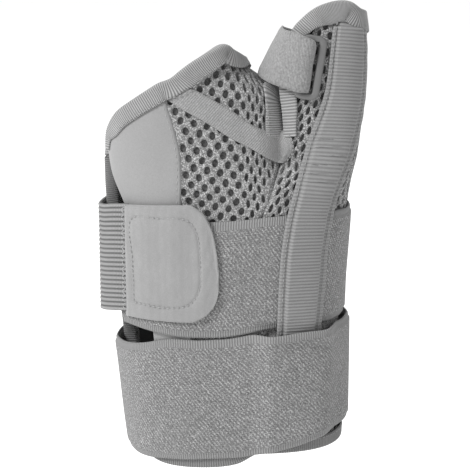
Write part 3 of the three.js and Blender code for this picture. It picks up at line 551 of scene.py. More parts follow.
class Look:
    """A material whose nodes are made one after another."""

    def __init__(self, name):
        self.material = bpy.data.materials.new(name)
        self.material.use_nodes = True
        self.tree = self.material.node_tree
        self.shader = self.tree.nodes["Principled BSDF"]
        self.shader.inputs["Metallic"].default_value = 0.0
        self.coordinates = self.node("ShaderNodeTexCoord")
        self.normal = None

    def node(self, kind, inputs=None, **settings):
        made = self.tree.nodes.new(kind)
        for key, value in settings.items():
            setattr(made, key, value)
        for key, value in (inputs or {}).items():
            if isinstance(value, bpy.types.NodeSocket):
                self.tree.links.new(value, made.inputs[key])
            else:
                made.inputs[key].default_value = value
        return made

    def math(self, operation, a, b=0.0):
        return self.node("ShaderNodeMath", {0: a, 1: b}, operation=operation).outputs[0]

    def noise(self, scale, detail=3.0, roughness=0.6):
        """Noise over the object, scale in waves per millimetre."""
        return self.node("ShaderNodeTexNoise", {
            "Vector": self.coordinates.outputs["Object"], "Scale": scale / MM,
            "Detail": detail, "Roughness": roughness}).outputs["Fac"]

    def patches(self, scale, detail=3.0, roughness=0.6):
        return self.span(self.noise(scale, detail, roughness), 0.3, 0.7)

    def cells(self, size):
        """Cells over the object, their size in millimetres."""
        return self.node("ShaderNodeTexVoronoi", {
            "Vector": self.coordinates.outputs["Object"],
            "Scale": 1 / (size * MM)}).outputs["Distance"]

    def ribs(self, pitch, angle=0.0, wander=0.0):
        """Ribs across the cloth's first direction, turned by an angle, pitch in millimetres."""
        placed = self.node("ShaderNodeMapping", {
            "Vector": self.coordinates.outputs["UV"], "Rotation": (0, 0, angle)})
        return self.node("ShaderNodeTexWave", {
            "Vector": placed.outputs[0], "Scale": ONE_WAVE / (pitch * CLOTH_SCALE),
            "Distortion": wander, "Detail": 2.0, "Detail Scale": 2.0},
            wave_type="BANDS", bands_direction="X").outputs["Fac"]

    def between(self, factor, low, high):
        """Between two tones as the factor goes from 0 to 1, each a grey, a colour or a socket."""
        mix = self.node("ShaderNodeMix", data_type="RGBA")
        self.tree.links.new(factor, mix.inputs["Factor"])
        for socket, value in ((mix.inputs["A"], low), (mix.inputs["B"], high)):
            if isinstance(value, bpy.types.NodeSocket):
                self.tree.links.new(value, socket)
            else:
                socket.default_value = (*(value if isinstance(value, tuple) else grey(value)), 1.0)
        return mix.outputs["Result"]

    def veil(self, tone, factor, share, over):
        """A tone with a share of another over it where the factor is 1."""
        return self.between(self.math("MULTIPLY", factor, share), tone, over)

    def span(self, factor, low, high):
        """The factor stretched so that low to high becomes 0 to 1."""
        return self.node("ShaderNodeMapRange", {
            "Value": factor, "From Min": low, "From Max": high}).outputs["Result"]

    def bump(self, height, depth):
        """Relief of a depth in millimetres."""
        inputs = {"Height": height, "Distance": depth * MM, "Strength": 1.0}
        if self.normal is not None:
            inputs["Normal"] = self.normal
        self.normal = self.node("ShaderNodeBump", inputs).outputs["Normal"]

    def finish(self, colour, roughness, sheen=0.0):
        self.tree.links.new(colour, self.shader.inputs["Base Color"])
        self.shader.inputs["Roughness"].default_value = roughness
        self.shader.inputs["Specular IOR Level"].default_value = 0.25
        self.shader.inputs["Sheen Weight"].default_value = sheen
        self.shader.inputs["Sheen Roughness"].default_value = 0.6
        if self.normal is not None:
            self.tree.links.new(self.normal, self.shader.inputs["Normal"])
        return self.material


SHADE = 0.52


def grey(value):
    """A neutral grey from its value as seen in the photograph, 0 to 1, in linear light."""
    light = SHADE * ((value + 0.055) / 1.055) ** 2.4
    return (light, light, light)


def net_look():
    look = Look("spacer_mesh")
    speckle = look.noise(1.3, 2.0, 0.8)
    loops = look.cells(0.55)
    tone = look.between(look.span(speckle, 0.40, 0.58), 0.46, 0.93)
    tone = look.between(look.span(loops, 0.35, 0.7), tone, 0.52)
    tone = look.veil(tone, look.patches(0.05), 0.2, 0.62)
    look.bump(speckle, 0.4)
    look.bump(loops, 0.25)
    return look.finish(tone, 0.95, 0.1)


def shaded_backing_look():
    look = Look("mesh_backing_painted_shade")
    # Painted shade: the backing down the holes is painted darker than the net, standing for the
    # shade in them
    tone = look.between(look.patches(1.3, 2.0), 0.30, 0.50)
    look.bump(look.noise(2.0, 2.0), 0.1)
    return look.finish(tone, 1.0)


def plush_look():
    look = Look("foam_laminate")
    fluff = look.noise(1.5, 4.0, 0.7)
    tone = look.between(look.span(fluff, 0.3, 0.7), 0.63, 0.69)
    tone = look.veil(tone, look.patches(0.03), 0.35, 0.61)
    # Painted shade: the laminate darkens towards its lower end, where the lobe at the hem is tucked
    # under the lower strap
    height = look.node("ShaderNodeSeparateXYZ", {0: look.coordinates.outputs["Object"]})
    low = look.span(height.outputs["Z"], -0.025, -0.045)
    tone = look.between(low, tone, look.between(fluff, 0.50, 0.57))
    look.bump(look.noise(2.6, 3.0), 0.08)
    return look.finish(tone, 1.0, 0.25)


def binding_look(name, dark, light):
    look = Look(name)
    ribs = look.ribs(RIB_PITCH, 0.0, 0.1)
    tone = look.between(look.span(ribs, 0.1, 0.85), dark, light)
    tone = look.veil(tone, look.patches(0.12), 0.3, dark)
    look.bump(look.noise(2.2, 2.0), 0.05)
    look.bump(ribs, 0.2)
    return look.finish(tone, 0.92, 0.15)


def elastic_look():
    look = Look("loop_pile_elastic")
    twill = look.ribs(1.25, math.radians(-34), 2.6)
    weft = look.ribs(0.9, math.radians(90), 1.0)
    speckle = look.noise(1.25, 2.0, 0.8)
    specks = look.cells(0.65)
    pile = look.math("MULTIPLY", twill, 0.34)
    pile = look.math("ADD", pile, look.math("MULTIPLY", weft, 0.15))
    pile = look.math("ADD", pile, look.math("MULTIPLY", look.span(speckle, 0.3, 0.7), 0.65))
    tone = look.between(look.span(pile, 0.25, 0.95), 0.34, 0.92)
    tone = look.between(look.span(specks, 0.3, 0.75), tone, 0.52)
    tone = look.veil(tone, look.span(look.noise(0.03), 0.35, 0.65), 0.2, 0.60)
    look.bump(pile, 0.6)
    return look.finish(tone, 0.97, 0.15)


def selvedge_look():
    look = Look("strap_selvedge")
    ribs = look.ribs(0.95, 0.0, 0.8)
    tone = look.between(ribs, 0.50, 0.70)
    tone = look.veil(tone, look.patches(1.2), 0.4, 0.62)
    look.bump(ribs, 0.25)
    return look.finish(tone, 0.95, 0.1)


def inside_shade_look():
    look = Look("inside_painted_shade")
    # Painted shade: the inner faces of the panels are painted dark, standing for the shade inside
    # the sleeve
    tone = look.between(look.noise(1.2, 2.0), 0.22, 0.30)
    look.bump(look.noise(1.6, 2.0), 0.1)
    return look.finish(tone, 1.0)


def webbing_look():
    look = Look("ribbed_webbing")
    ribs = look.ribs(WEBBING_PITCH, math.radians(90))
    teeth = look.ribs(0.85, 0.0, 0.6)
    tone = look.between(look.span(ribs, 0.05, 0.75), 0.36, 0.70)
    tone = look.veil(tone, teeth, 0.4, 0.50)
    look.bump(teeth, 0.25)
    look.bump(look.noise(1.8, 2.0), 0.1)
    return look.finish(tone, 0.9, 0.1)


def tab_look():
    look = Look("velour")
    fluff = look.noise(2.2, 4.0, 0.75)
    streaks = look.ribs(3.4, 0.0, 4.0)
    tone = look.between(look.span(fluff, 0.3, 0.7), 0.61, 0.71)
    tone = look.veil(tone, streaks, 0.3, 0.61)
    tone = look.veil(tone, look.patches(0.07), 0.3, 0.60)
    look.bump(fluff, 0.1)
    return look.finish(tone, 1.0, 0.3)


def band_look():
    look = Look("brushed_band")
    threads = look.ribs(0.95, math.radians(18), 1.5)
    fluff = look.noise(1.5, 3.0, 0.7)
    tone = look.between(look.span(fluff, 0.3, 0.7), 0.56, 0.76)
    tone = look.veil(tone, threads, 0.4, 0.58)
    look.bump(threads, 0.15)
    look.bump(fluff, 0.12)
    return look.finish(tone, 0.97, 0.15)


def tape_look():
    look = Look("ribbed_tape")
    ribs = look.ribs(TAPE_PITCH, math.radians(90), 0.25)
    speckle = look.noise(1.3, 2.0, 0.7)
    # Painted shade in the grooves: the tone darkens between the tape's ribs
    tone = look.between(look.span(ribs, 0.1, 0.8), 0.53, 0.66)
    tone = look.veil(tone, look.span(speckle, 0.3, 0.7), 0.5, 0.60)
    look.bump(speckle, 0.2)
    return look.finish(tone, 0.92, 0.12)


def strap_look():
    look = Look("smooth_strap")
    dashes = look.ribs(1.3, math.radians(25), 5.0)
    mottle = look.noise(1.0, 3.0, 0.7)
    tone = look.between(look.span(mottle, 0.32, 0.66), 0.53, 0.70)
    tone = look.veil(tone, dashes, 0.3, 0.56)
    look.bump(mottle, 0.25)
    look.bump(dashes, 0.12)
    return look.finish(tone, 0.92, 0.2)


def plastic_look():
    look = Look("moulded_plastic")
    tone = look.between(look.noise(0.3, 2.0), 0.46, 0.51)
    look.bump(look.noise(1.2, 2.0), 0.02)
    made = look.finish(tone, 0.42)
    look.shader.inputs["Specular IOR Level"].default_value = 0.45
    return made


def thread_look():
    look = Look("thread")
    tone = look.between(look.noise(2.0, 2.0), 0.64, 0.78)
    look.bump(look.noise(3.0, 2.0), 0.04)
    return look.finish(tone, 0.85, 0.1)


LOOKS = {
    "mesh": net_look(),
    "backing": shaded_backing_look(),
    "plush": plush_look(),
    "binding": binding_look("ribbed_binding", 0.53, 0.78),
    "shaded": binding_look("shaded_binding", 0.38, 0.62),
    "hem": binding_look("ribbed_hem", 0.50, 0.61),
    "elastic": elastic_look(),
    "selvedge": selvedge_look(),
    "inside_shade": inside_shade_look(),
    "webbing": webbing_look(),
    "tab": tab_look(),
    "tape": tape_look(),
    "strap": strap_look(),
    "plastic": plastic_look(),
    "thread": thread_look(),
    "band": band_look(),
}


# Panels of cloth between four edges

def panel_spots(edges, columns_, rows):
    """Turns and heights over a panel, by column and row."""
    u = np.linspace(0, 1, columns_)[:, None, None]
    v = np.linspace(0, 1, rows)[None, :, None]
    left, right = edges["left"](v[0, :, 0])[None], edges["right"](v[0, :, 0])[None]
    bottom, top = edges["bottom"](u[:, 0, 0])[:, None], edges["top"](u[:, 0, 0])[:, None]
    bow = bottom - (bottom[:1] * (1 - u) + bottom[-1:] * u)
    arch = top - (top[:1] * (1 - u) + top[-1:] * u)
    return left * (1 - u) + right * u + bow * (1 - v) + arch * v


def edge_distance(points):
    """How far each point of a grid is from its nearer side and its nearer end, measured along
    the grid, and how far it is along from the first side and up from the first end."""
    across = np.linalg.norm(np.diff(points, axis=0), axis=-1)
    up = np.linalg.norm(np.diff(points, axis=1), axis=-1)
    zero_row, zero_column = np.zeros((1, points.shape[1])), np.zeros((points.shape[0], 1))
    from_left = np.vstack([zero_row, np.cumsum(across, 0)])
    from_foot = np.hstack([zero_column, np.cumsum(up, 1)])
    return (np.minimum(from_left, from_left[-1:] - from_left),
            np.minimum(from_foot, from_foot[:, -1:] - from_foot), from_left, from_foot)


def panel(name, tube, edges, look, level, thick, count, relief=0.0, radius=0.0, seed=1):
    """A panel of cloth on a tube, its outer face at level, with soft relief and rounded edges."""
    spots = panel_spots(edges, *count)
    turn, z = spots[..., 0], spots[..., 1]
    side, end, along, up = edge_distance(tube.at(turn, z))
    top = level - rounded(np.minimum(side, end), radius) if radius else level + 0 * side
    if relief:
        inward = ease(0, 8, np.minimum(side, end))
        top = top + relief * soft_waves(along, up, 30, seed) * inward
    outer = tube.off(turn, z, top)
    inner = tube.off(turn, z, level - thick)
    # The inner faces get the painted shade of the sleeve's inside
    return wall(name, outer, inner, look, pairs(along, up), LOOKS["inside_shade"])


# The net of the spacer mesh: its holes have rims and walls, over a backing painted darker as
# painted shade down the holes

NET_DEEP = 1.5
HOLE_WIDE, HOLE_TALL = 1.34, 1.64
HOLE_ROW_STEP = np.array([5.76, -1.08])
HOLE_COLUMN_STEP = np.array([2.30, -4.20])
HOLE_SHIFT = 0.16
HOLE_CLEAR = 2.5
HOLE_SIDES = 20
# The rings of points round a hole: how much wider than it, and how high over the tube
HOLE_RINGS = columns("wider level", [
    (0.98, 0.16), (0.62, 0.14), (0.34, 0.00), (0.14, -0.28), (0.02, -0.75), (0.00, -NET_DEEP - 0.1),
])
FILL_STEP, FILL_CLEAR = 3.2, 3.1
RIM_LEVEL, FILL_LEVEL, EDGE_LEVEL = 0.17, 0.1, -0.15


class Unrolled:
    """Lengths round a tube from a line up its cloth, and back to turns."""

    def __init__(self, tube, start, low, high):
        self.z = np.linspace(low, high, 150)
        self.turn = np.linspace(-0.1, 2.1, 420)
        grid = tube.at(self.turn[None], self.z[:, None])
        step = np.linalg.norm(np.diff(grid, axis=1), axis=-1)
        run = np.hstack([np.zeros((len(self.z), 1)), np.cumsum(step, 1)])
        zero = [np.interp(turn, self.turn, row) for turn, row in zip(start(self.z), run)]
        self.length = run - np.array(zero)[:, None]
        self.s = np.linspace(self.length.min(), self.length.max(), 600)
        self.back = np.array([np.interp(self.s, row, self.turn) for row in self.length])

    def read(self, grid, axis, value, z):
        i = np.clip(np.searchsorted(self.z, z) - 1, 0, len(self.z) - 2)
        j = np.clip(np.searchsorted(axis, value) - 1, 0, len(axis) - 2)
        a = np.clip((z - self.z[i]) / (self.z[i + 1] - self.z[i]), 0, 1)
        b = np.clip((value - axis[j]) / (axis[j + 1] - axis[j]), 0, 1)
        low = grid[i, j] * (1 - b) + grid[i, j + 1] * b
        high = grid[i + 1, j] * (1 - b) + grid[i + 1, j + 1] * b
        return low * (1 - a) + high * a

    def to_length(self, turn, z):
        return self.read(self.length, self.turn, turn, z)

    def to_turn(self, length, z):
        return self.read(self.back, self.s, length, z)


def border_distance(points, border):
    """How far each point is from a closed border."""
    a, b = border, np.roll(border, -1, axis=0)
    along = b - a
    offset = points[:, None] - a[None]
    share = np.clip((offset * along).sum(-1) / np.maximum((along ** 2).sum(-1), 1e-9), 0, 1)
    return np.linalg.norm(offset - share[..., None] * along, axis=-1).min(1)


def inside(points, border):
    a, b = border, np.roll(border, -1, axis=0)
    x, y = points[:, :1], points[:, 1:]
    crosses = (a[:, 1] > y) != (b[:, 1] > y)
    rise = np.where(b[:, 1] == a[:, 1], 1, b[:, 1] - a[:, 1])
    where = a[:, 0] + (y - a[:, 1]) * (b[:, 0] - a[:, 0]) / rise
    return (crosses & (x < where)).sum(1) % 2 == 1


def read_line(line):
    """Turns and heights along a row of points, read by the share of its points."""
    share = np.linspace(0, 1, len(line))
    return lambda at: pairs(np.interp(at, share, line[:, 0]), np.interp(at, share, line[:, 1]))


def even(line, spacing=1.3):
    """The points of a line again, evenly spaced."""
    run = lengths(line)
    at = np.linspace(0, run[-1], max(2, int(run[-1] / spacing)) + 1)
    return pairs(np.interp(at, run, line[:, 0]), np.interp(at, run, line[:, 1]))[:-1]


def net_shown(z):
    """Where the net isn't under the wide straps, which hide its holes."""
    return (z > 55) | (z < -44)


def net(name, tube, start, borders, valley, seed):
    """A net between borders, lines of turns and heights. Its cloth is measured from start."""
    own = np.random.default_rng(seed)
    flat = Unrolled(tube, start, -62, 156)
    border = np.vstack([even(pairs(flat.to_length(*line.T), line[:, 1])) for line in borders])
    low, high = border.min(0), border.max(0)

    reach = int((high - low).max() / 4) + 30
    i, j = np.meshgrid(np.arange(-reach, reach), np.arange(-reach, reach), indexing="ij")
    centres = (i[..., None] * HOLE_ROW_STEP + j[..., None] * HOLE_COLUMN_STEP).reshape(-1, 2)
    if valley:
        centres[:, 0] = valley[1](centres[:, 0])
    centres = centres[((centres > low) & (centres < high)).all(1)]
    centres = centres + own.uniform(-HOLE_SHIFT, HOLE_SHIFT, centres.shape)
    narrow = valley[0](centres[:, 0]) if valley else 0 * centres[:, 0]
    keep = (inside(centres, border) & (border_distance(centres, border) > HOLE_CLEAR - narrow)
            & net_shown(centres[:, 1]))
    centres, shrink = centres[keep], 1 - 0.42 * narrow[keep, None]

    angle = np.linspace(0, 2 * math.pi, HOLE_SIDES, endpoint=False)
    size = own.uniform(0.93, 1.07, (len(centres), 2))
    lean = own.uniform(-0.12, 0.12, len(centres))
    rings = []
    for wider in HOLE_RINGS["wider"]:
        a = (HOLE_WIDE * size[:, :1] + wider) * shrink * np.cos(angle)
        b = (HOLE_TALL * size[:, 1:] + wider * 0.78) * np.sin(angle)
        rings.append((pairs(a + b * lean[:, None], b) + centres[:, None]).reshape(-1, 2))

    grid = np.stack(np.meshgrid(np.arange(low[0], high[0], FILL_STEP),
                                np.arange(low[1], high[1], FILL_STEP), indexing="ij"), -1)
    grid = grid.reshape(-1, 2)
    gap = np.full(len(grid), 1e9)
    for centre in centres:
        gap = np.minimum(gap, np.hypot(*(grid - centre).T))
    grid = grid[inside(grid, border) & (border_distance(grid, border) > 1.2) & (gap > FILL_CLEAR)]

    edge, per_ring = len(border), len(rings[0])
    holes = [list(range(n, n + HOLE_SIDES)) for n in range(edge, edge + per_ring, HOLE_SIDES)]
    made = geometry.delaunay_2d_cdt([Vector(p) for p in np.vstack([border, rings[0], grid])], [],
                                    [list(range(edge))] + holes, 0, 1e-5)
    face_spots, _, triangles, origin, _, from_faces = made
    faces = [tuple(corners) for corners, within in zip(triangles, from_faces) if within == [0]]
    level = [EDGE_LEVEL] * edge + [RIM_LEVEL] * per_ring + [FILL_LEVEL] * len(grid)
    face_levels = [level[source[0]] if source else 0.0 for source in origin]
    first = {source: n for n, sources in enumerate(origin) for source in sources}

    above = np.array([first[edge + k] for k in range(per_ring)])
    following = np.roll(np.arange(per_ring).reshape(-1, HOLE_SIDES), -1, axis=1).ravel()
    below = len(face_spots) + np.arange(per_ring)
    for _ in rings[1:]:
        faces += np.stack([above, above[following], below[following], below], -1).tolist()
        above, below = below, below + per_ring
    upper = np.array([first[k] for k in range(edge)])
    lower = below[0] + np.arange(edge)
    faces += np.stack([upper, lower, np.roll(lower, -1), np.roll(upper, -1)], -1).tolist()

    spots = np.vstack([np.array(face_spots, float), *rings[1:], border])
    levels = np.concatenate([face_levels, np.repeat(HOLE_RINGS["level"][1:], per_ring),
                             np.full(edge, -MESH * 0.8)])
    points = tube.off(flat.to_turn(*spots.T), spots[:, 1], levels)
    return make_piece(name, points, faces, LOOKS["mesh"], spots)


# Pieces that take the place of the part's nodes

def dressed(piece, node):
    """A piece in the place of a node, whose part is hidden."""
    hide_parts(node)
    return piece


# Bindings folded over the edges

FLANGE_POINTS = 9
FOLD_POINTS = 9


def binding_section():
    """The closed section: distance from the line, as a share of the width where it is more
    than 0 and in millimetres where it is less, level, and how far it is outside."""
    low, high = -MESH - CHANNEL_GAP, PLUSH - MESH + CHANNEL_GAP
    back = CHANNEL_GAP + BINDING
    points = [(1, high + BINDING * 0.25, 0.2)]
    for share in np.linspace(1, 0, FLANGE_POINTS):
        points.append((share * 0.985, high + BINDING - 0.25 * share ** 8, 1.0))
    middle, half = (high + low) / 2, (high - low) / 2 + BINDING
    for angle in np.linspace(90, -90, FOLD_POINTS + 2)[1:-1]:
        a = math.radians(angle)
        points.append((-back * math.cos(a) ** 0.8, middle + half * math.sin(a), 1.0))
    for share in np.linspace(0, 1, 5):
        points.append((share * 0.985, low - BINDING + 0.25 * share ** 8, 1.0))
    points += [(1, low - BINDING * 0.25, 0.2), (0.9, low, 0), (0, low, 0), (-CHANNEL_GAP, low, 0),
               (-CHANNEL_GAP, high, 0), (0, high, 0), (0.9, high, 0)]
    return np.array(points)


def binding(node, tube, points, width, inwards, seed, look="binding", shape=None, swell=0.0):
    """A ribbed tape folded over an edge. shape says how its width changes along it."""
    line = edge_line(points)
    run = lengths(tube.at(*line(np.linspace(0, 1, 200)).T))[-1]
    share = np.linspace(0, 1, int(run / (RIB_PITCH / 3.5)))
    here, e = line(share), 1e-3
    step = line(np.minimum(1, share + e)) - line(np.maximum(0, share - e))
    way, rise, out = tube.axes(here[:, 0], here[:, 1])
    side = np.cross(out, unit(way * step[:, :1] + rise * step[:, 1:])) * inwards
    ww, wr, rr = (way * way).sum(-1), (way * rise).sum(-1), (rise * rise).sum(-1)
    wd, rd = (way * side).sum(-1), (rise * side).sum(-1)
    under = ww * rr - wr * wr
    turn_step, rise_step = (wd * rr - rd * wr) / under, (rd * ww - wd * wr) / under

    reach, height, outside = binding_section().T
    along = (share * run)[:, None]
    full = width * (np.ones(len(share)) if shape is None else shape(share))[:, None]
    distance = np.where(reach > 0, reach * full, reach)
    distance = distance + 0.22 * soft_waves(along, 0 * along, 14, seed) * (reach > 0.5)
    rib = -np.cos(2 * math.pi * along / RIB_PITCH) * RIB_DEEP / 2
    bulge = (rib + swell * soft_waves(along, 0 * along, 17, seed + 9)) * outside
    level = height + np.sign(height + 1) * bulge
    turn = here[:, :1] + np.clip(turn_step[:, None] * distance, -0.1, 0.1)
    z = here[:, 1:] + np.clip(rise_step[:, None] * distance, -9, 9)
    piece = swept(node + "_tape", tube.off(turn, z, level), LOOKS[look],
                  pairs(along, distance + 3 * height))
    return dressed(piece, node)


# Stitches: short threads that lie on a cloth

STITCH_SIDES = 6
STITCH_ROUNDS = (0.12, 0.35, 0.65, 0.88)


def stitches(name, starts, ends, outs, thick):
    """A short thread from each start to its end, raised a little along out."""
    course = ends - starts
    cross = unit(np.cross(course, outs))[:, None]
    angle = np.linspace(0, 2 * math.pi, STITCH_SIDES, endpoint=False)[:, None]
    around = (cross * np.cos(angle) + outs[:, None] * np.sin(angle)) * thick / 2
    rings = [(starts - outs * thick * 0.4)[:, None]]
    for share in STITCH_ROUNDS:
        lift = thick * (0.75 * math.sin(math.pi * share) - 0.35)
        rings.append((starts + course * share + outs * lift)[:, None] + around)
    rings.append((ends - outs * thick * 0.4)[:, None])
    points = np.concatenate(rings, axis=1)

    size, last = points.shape[1], len(STITCH_ROUNDS) - 1
    one = []

    def spot(ring, k):
        return 1 + ring * STITCH_SIDES + k % STITCH_SIDES

    for k in range(STITCH_SIDES):
        one += [(0, spot(0, k + 1), spot(0, k)), (spot(last, k), spot(last, k + 1), size - 1)]
        one += [(spot(r, k), spot(r, k + 1), spot(r + 1, k + 1), spot(r + 1, k))
                for r in range(last)]
    faces = [tuple(base + n for n in face) for base in range(0, len(points) * size, size)
             for face in one]
    return make_piece(name, points.reshape(-1, 3), faces, LOOKS["thread"])


def stitch_run(surface, line, pitch, share=0.62, zigzag=0.0):
    """Starts, ends and outward ways of stitches along a line of surface spots."""
    spots = line(np.linspace(0, 1, 400))
    run = lengths(surface(spots)[0])
    count = max(1, int(run[-1] / pitch))
    at = (np.arange(count) + 0.5) / count * run[-1]

    def picked(where):
        return surface(pairs(*(np.interp(where, run, spots[:, k]) for k in range(2))))

    a, out = picked(at - pitch * share / 2)
    b, _ = picked(at + pitch * share / 2)
    if zigzag:
        side = unit(np.cross(b - a, out))
        sign = np.where(np.arange(count) % 2, 1, -1)[:, None]
        a, b = a - side * zigzag * sign, b + side * zigzag * sign
    return a, b, out


def on_tube(tube, level):
    """A surface for stitches: points and outward ways at turns and heights."""
    return lambda spots: (tube.off(*spots.T, level), tube.axes(*spots.T)[2])


# The side panels

PLUSH_LAP = 1.6
PLUSH_PROUD = 0.35


def shifted(line, tube, distance):
    """A line moved sideways over a tube, to the right of its course if distance is positive."""
    def at(share):
        share = np.asarray(share, float)
        here = line(share)
        step = line(np.minimum(1, share + 1e-3)) - line(np.maximum(0, share - 1e-3))
        around = np.linalg.norm(tube.axes(here[..., 0], here[..., 1])[0], axis=-1)
        run = unit(pairs(step[..., 0] * around, step[..., 1]))
        return here + pairs(run[..., 1] * distance / around, -run[..., 0] * distance)
    return at


def side_panel(node, left, right, bottom, top, rows, relief, seed):
    edges = {"left": left, "right": right, "bottom": edge_line(bottom), "top": edge_line(top)}
    piece = panel(node + "_laminate", palm, edges, LOOKS["plush"], PLUSH - MESH + PLUSH_PROUD,
                  PLUSH, (60, rows), relief, 0.9, seed)
    return dressed(piece, node)


front_panel = side_panel("front_side_panel", edge_line(front_left),
                         shifted(edge_line(front_seam), palm, PLUSH_LAP),
                         lobe_hem, front_top, 220, 0.35, 11)
back_hem = np.vstack([on_back(front_seam[:1]), [(1.7, hem_z), (1.84, hem_z), back_foot]])
back_panel = side_panel("back_side_panel", shifted(edge_line(back_seam), palm, -PLUSH_LAP),
                        edge_line([back_foot, (BACK_EDGE, 0), back_corner]),
                        back_hem, back_panel_top, 200, 0.3, 12)


# The nets of palm, thumb and back, each with its backing

def closer(start, way):
    """Holes that narrow and stand closer beyond a line, towards the valley by the thumb."""
    return (lambda x: ease(start - 3 * way, start + 1.5 * way, x),
            lambda x: np.where((x - start) * way > 0, start + (x - start) * 0.7, x))


def mesh_part(name, tube, start, borders, edges, count, seed, valley=None):
    """The net of a mesh between its borders, bottom first, and the backing between its edges."""
    dressed(net(name + "_net", tube, start, borders, valley, seed), name + "_mesh")
    backing = panel(name + "_backing", tube, edges, LOOKS["backing"],
                    -NET_DEEP, MESH - NET_DEEP + 0.3, count)
    return backing


share = np.linspace(0, 1, 160)
web_side = np.vstack([on_front(palm, SEAM)[-1:], web_front[1:], web_top, web_end])
crest_side = edge_line(np.vstack([web_end, crest[1:]]))(share)
palm_left = edge_line(front_seam)
palm_right = np.vstack([seam_line(palm, False)(share), edge_line(web_side)(share), crest_side])
palm_bottom = np.vstack([front_seam[:1], hem_seam])
palm_top = edge_line(mesh_top)
palm_backing = mesh_part(
    "front_palm", palm, lambda z: palm.front(-4, z),
    [palm_bottom, palm_right, palm_top(share)[::-1], palm_left(share)[::-1]],
    {"left": palm_left, "right": read_line(palm_right),
     "bottom": edge_line(palm_bottom), "top": palm_top},
    (50, 140), 3, closer(9, 1))

thumb_seam = on_front(thumb, SEAM)
thumb_left = np.vstack([seam_line(thumb, False)(share),
                        edge_line(np.vstack([thumb_seam[-1:], thumb_edge[1:]]))(share)])
thumb_right = np.vstack([
    seam_line(thumb, True)(share),
    edge_line(np.vstack([on_back(thumb_seam)[-1:], thumb_back_edge[::-1]]))(share)])
thumb_bottom = edge_line(np.vstack([
    hem_thumb, [(0.8, hem_z), (1, hem_z), (1.2, hem_z)], on_back(hem_thumb)]))
thumb_upper = edge_line(np.vstack([thumb_top, thumb_crest, thumb_back_top, thumb_back_edge[:1]]))
tape_middle = mm({"up": TAPE["up"], "across": (TAPE["left"] + TAPE["right"]) / 2}, "across")
thumb_backing = mesh_part(
    "thumb", thumb, lambda z: thumb.front(tape_middle(z), z),
    [thumb_bottom(share), thumb_right, thumb_upper(share)[::-1], thumb_left[::-1]],
    {"left": read_line(thumb_left), "right": read_line(thumb_right),
     "bottom": thumb_bottom, "top": thumb_upper},
    (110, 140), 4, closer(-11, -1))

back_web = np.vstack([on_back(web_side[:-3]), web_end])
back_left = np.vstack([seam_line(palm, True)(share), edge_line(back_web)(share), crest_side])
back_right = edge_line(back_seam)
back_bottom = np.vstack([on_back(hem_seam), on_back(front_seam[:1])])
back_upper = edge_line(back_top)
back_backing = mesh_part(
    "back_palm", palm, lambda z: 1.5 + 0 * z,
    [back_bottom, back_right(share), back_upper(share)[::-1], back_left[::-1]],
    {"left": read_line(back_left), "right": back_right,
     "bottom": edge_line(back_bottom), "top": back_upper},
    (60, 140), 5)


# The bindings

whole_top = np.vstack([front_top, mesh_top[1:], back_top[1:], back_panel_top[1:]])
top_shares = np.linspace(0, 1, 400)
crest_share = float(np.interp(1.04, edge_line(whole_top)(top_shares)[:, 0], top_shares))


def top_width(at):
    end = 0.45 + 0.55 * ease(0, 0.06, at)
    return end * (1 - 0.55 * np.exp(-((at - crest_share) / 0.05) ** 2))


def web_width(at):
    return 1 - 0.45 * np.exp(-((at - 0.5) / 0.2) ** 2)


def thumb_width(at):
    return 0.6 + 0.2 * ease(0, 0.1, at) + 0.2 * ease(0.2, 0.3, at)


web_line = np.vstack([web_front[2:], web_top, on_back(web_front[2:])[::-1]]) - (0, 0.96)
thumb_line = np.vstack([thumb_edge[2:], thumb_top[1:], thumb_crest, thumb_back_top,
                        thumb_back_edge[:-1]])
hem_line = np.vstack([lobe_hem, hem_seam,
                      [(turn, hem_z) for turn in (0.8, 1, 1.25, 1.5, 1.75, 1.92)]])
side_line = [(BACK_EDGE, up * TALL) for up in (-0.215, 0, 0.2, 0.395)]

binding("palm_top_binding", palm, whole_top, TOP_BINDING_WIDTH, -1, 21, shape=top_width, swell=0.12)
binding("web_binding", palm, web_line, WEB_BINDING_WIDTH, 1, 22, shape=web_width, swell=0.1)
binding("thumb_binding", thumb, thumb_line, THUMB_BINDING_WIDTH, -1, 23, shape=thumb_width,
        swell=0.12)
binding("hem_binding", palm, hem_line, HEM_BINDING_WIDTH, 1, 24, "hem")
binding("back_side_binding", palm, side_line, HEM_BINDING_WIDTH, 1, 25, "shaded")


# The wide straps

def side(turn):
    """From -1 at the left of a tube to 1 at its right."""
    return -np.cos(np.pi * turn)


def forward(turn):
    """From 1 at the front of a tube to -1 at its back."""
    return np.sin(np.pi * turn)


# Each of these gives the lower and upper edge of a strap at its turns

def middle_heights(turn):
    dip = ease(-0.9, -0.25, side(turn)) * (1 - ease(-0.1, 0.5, side(turn)))
    low = 9 - 4.4 * dip * ease(0, 0.3, forward(turn))
    rise = 2.6 * ease(-0.1, 0.45, side(turn)) * forward(turn) - 1.2 * ease(0.85, 1, side(turn))
    return low, 60 + 0.5 * side(turn) - 1.8 * forward(turn) + rise


def lower_heights(turn):
    rise = 4 + 6 * ease(-1, -0.45, side(turn)) + 4.5 * ease(-0.3, 0.6, side(turn))
    low = -52 + 4 * side(turn) + 6 * ease(0, 0.9, side(turn))
    return low, np.minimum(rise - 6.5, middle_heights(turn)[0] - 0.7)


def webbing_heights(turn):
    front, back = np.maximum(0, forward(turn)), np.maximum(0, -forward(turn))
    return 9.3 + 9.7 * front + 2 * back, 59.4 + 9 * front + back


def tape_lift(z):
    """How far the stay tape stands off the sleeve, since it passes over the middle strap."""
    return 0.9 + 2.5 * ease(0.5, 7, z) * (1 - ease(59, 76, z))


def over_tape(turn, z):
    """How far the lower strap is lifted where it crosses the stay tape."""
    x = lower_hoop.at(turn, z)[..., 0]
    across = ease(6, 17, x) * (1 - ease(37, 46, x)) * ease(0, 0.2, forward(turn))
    return across * (tape_lift(z) + TAPE_RIB)


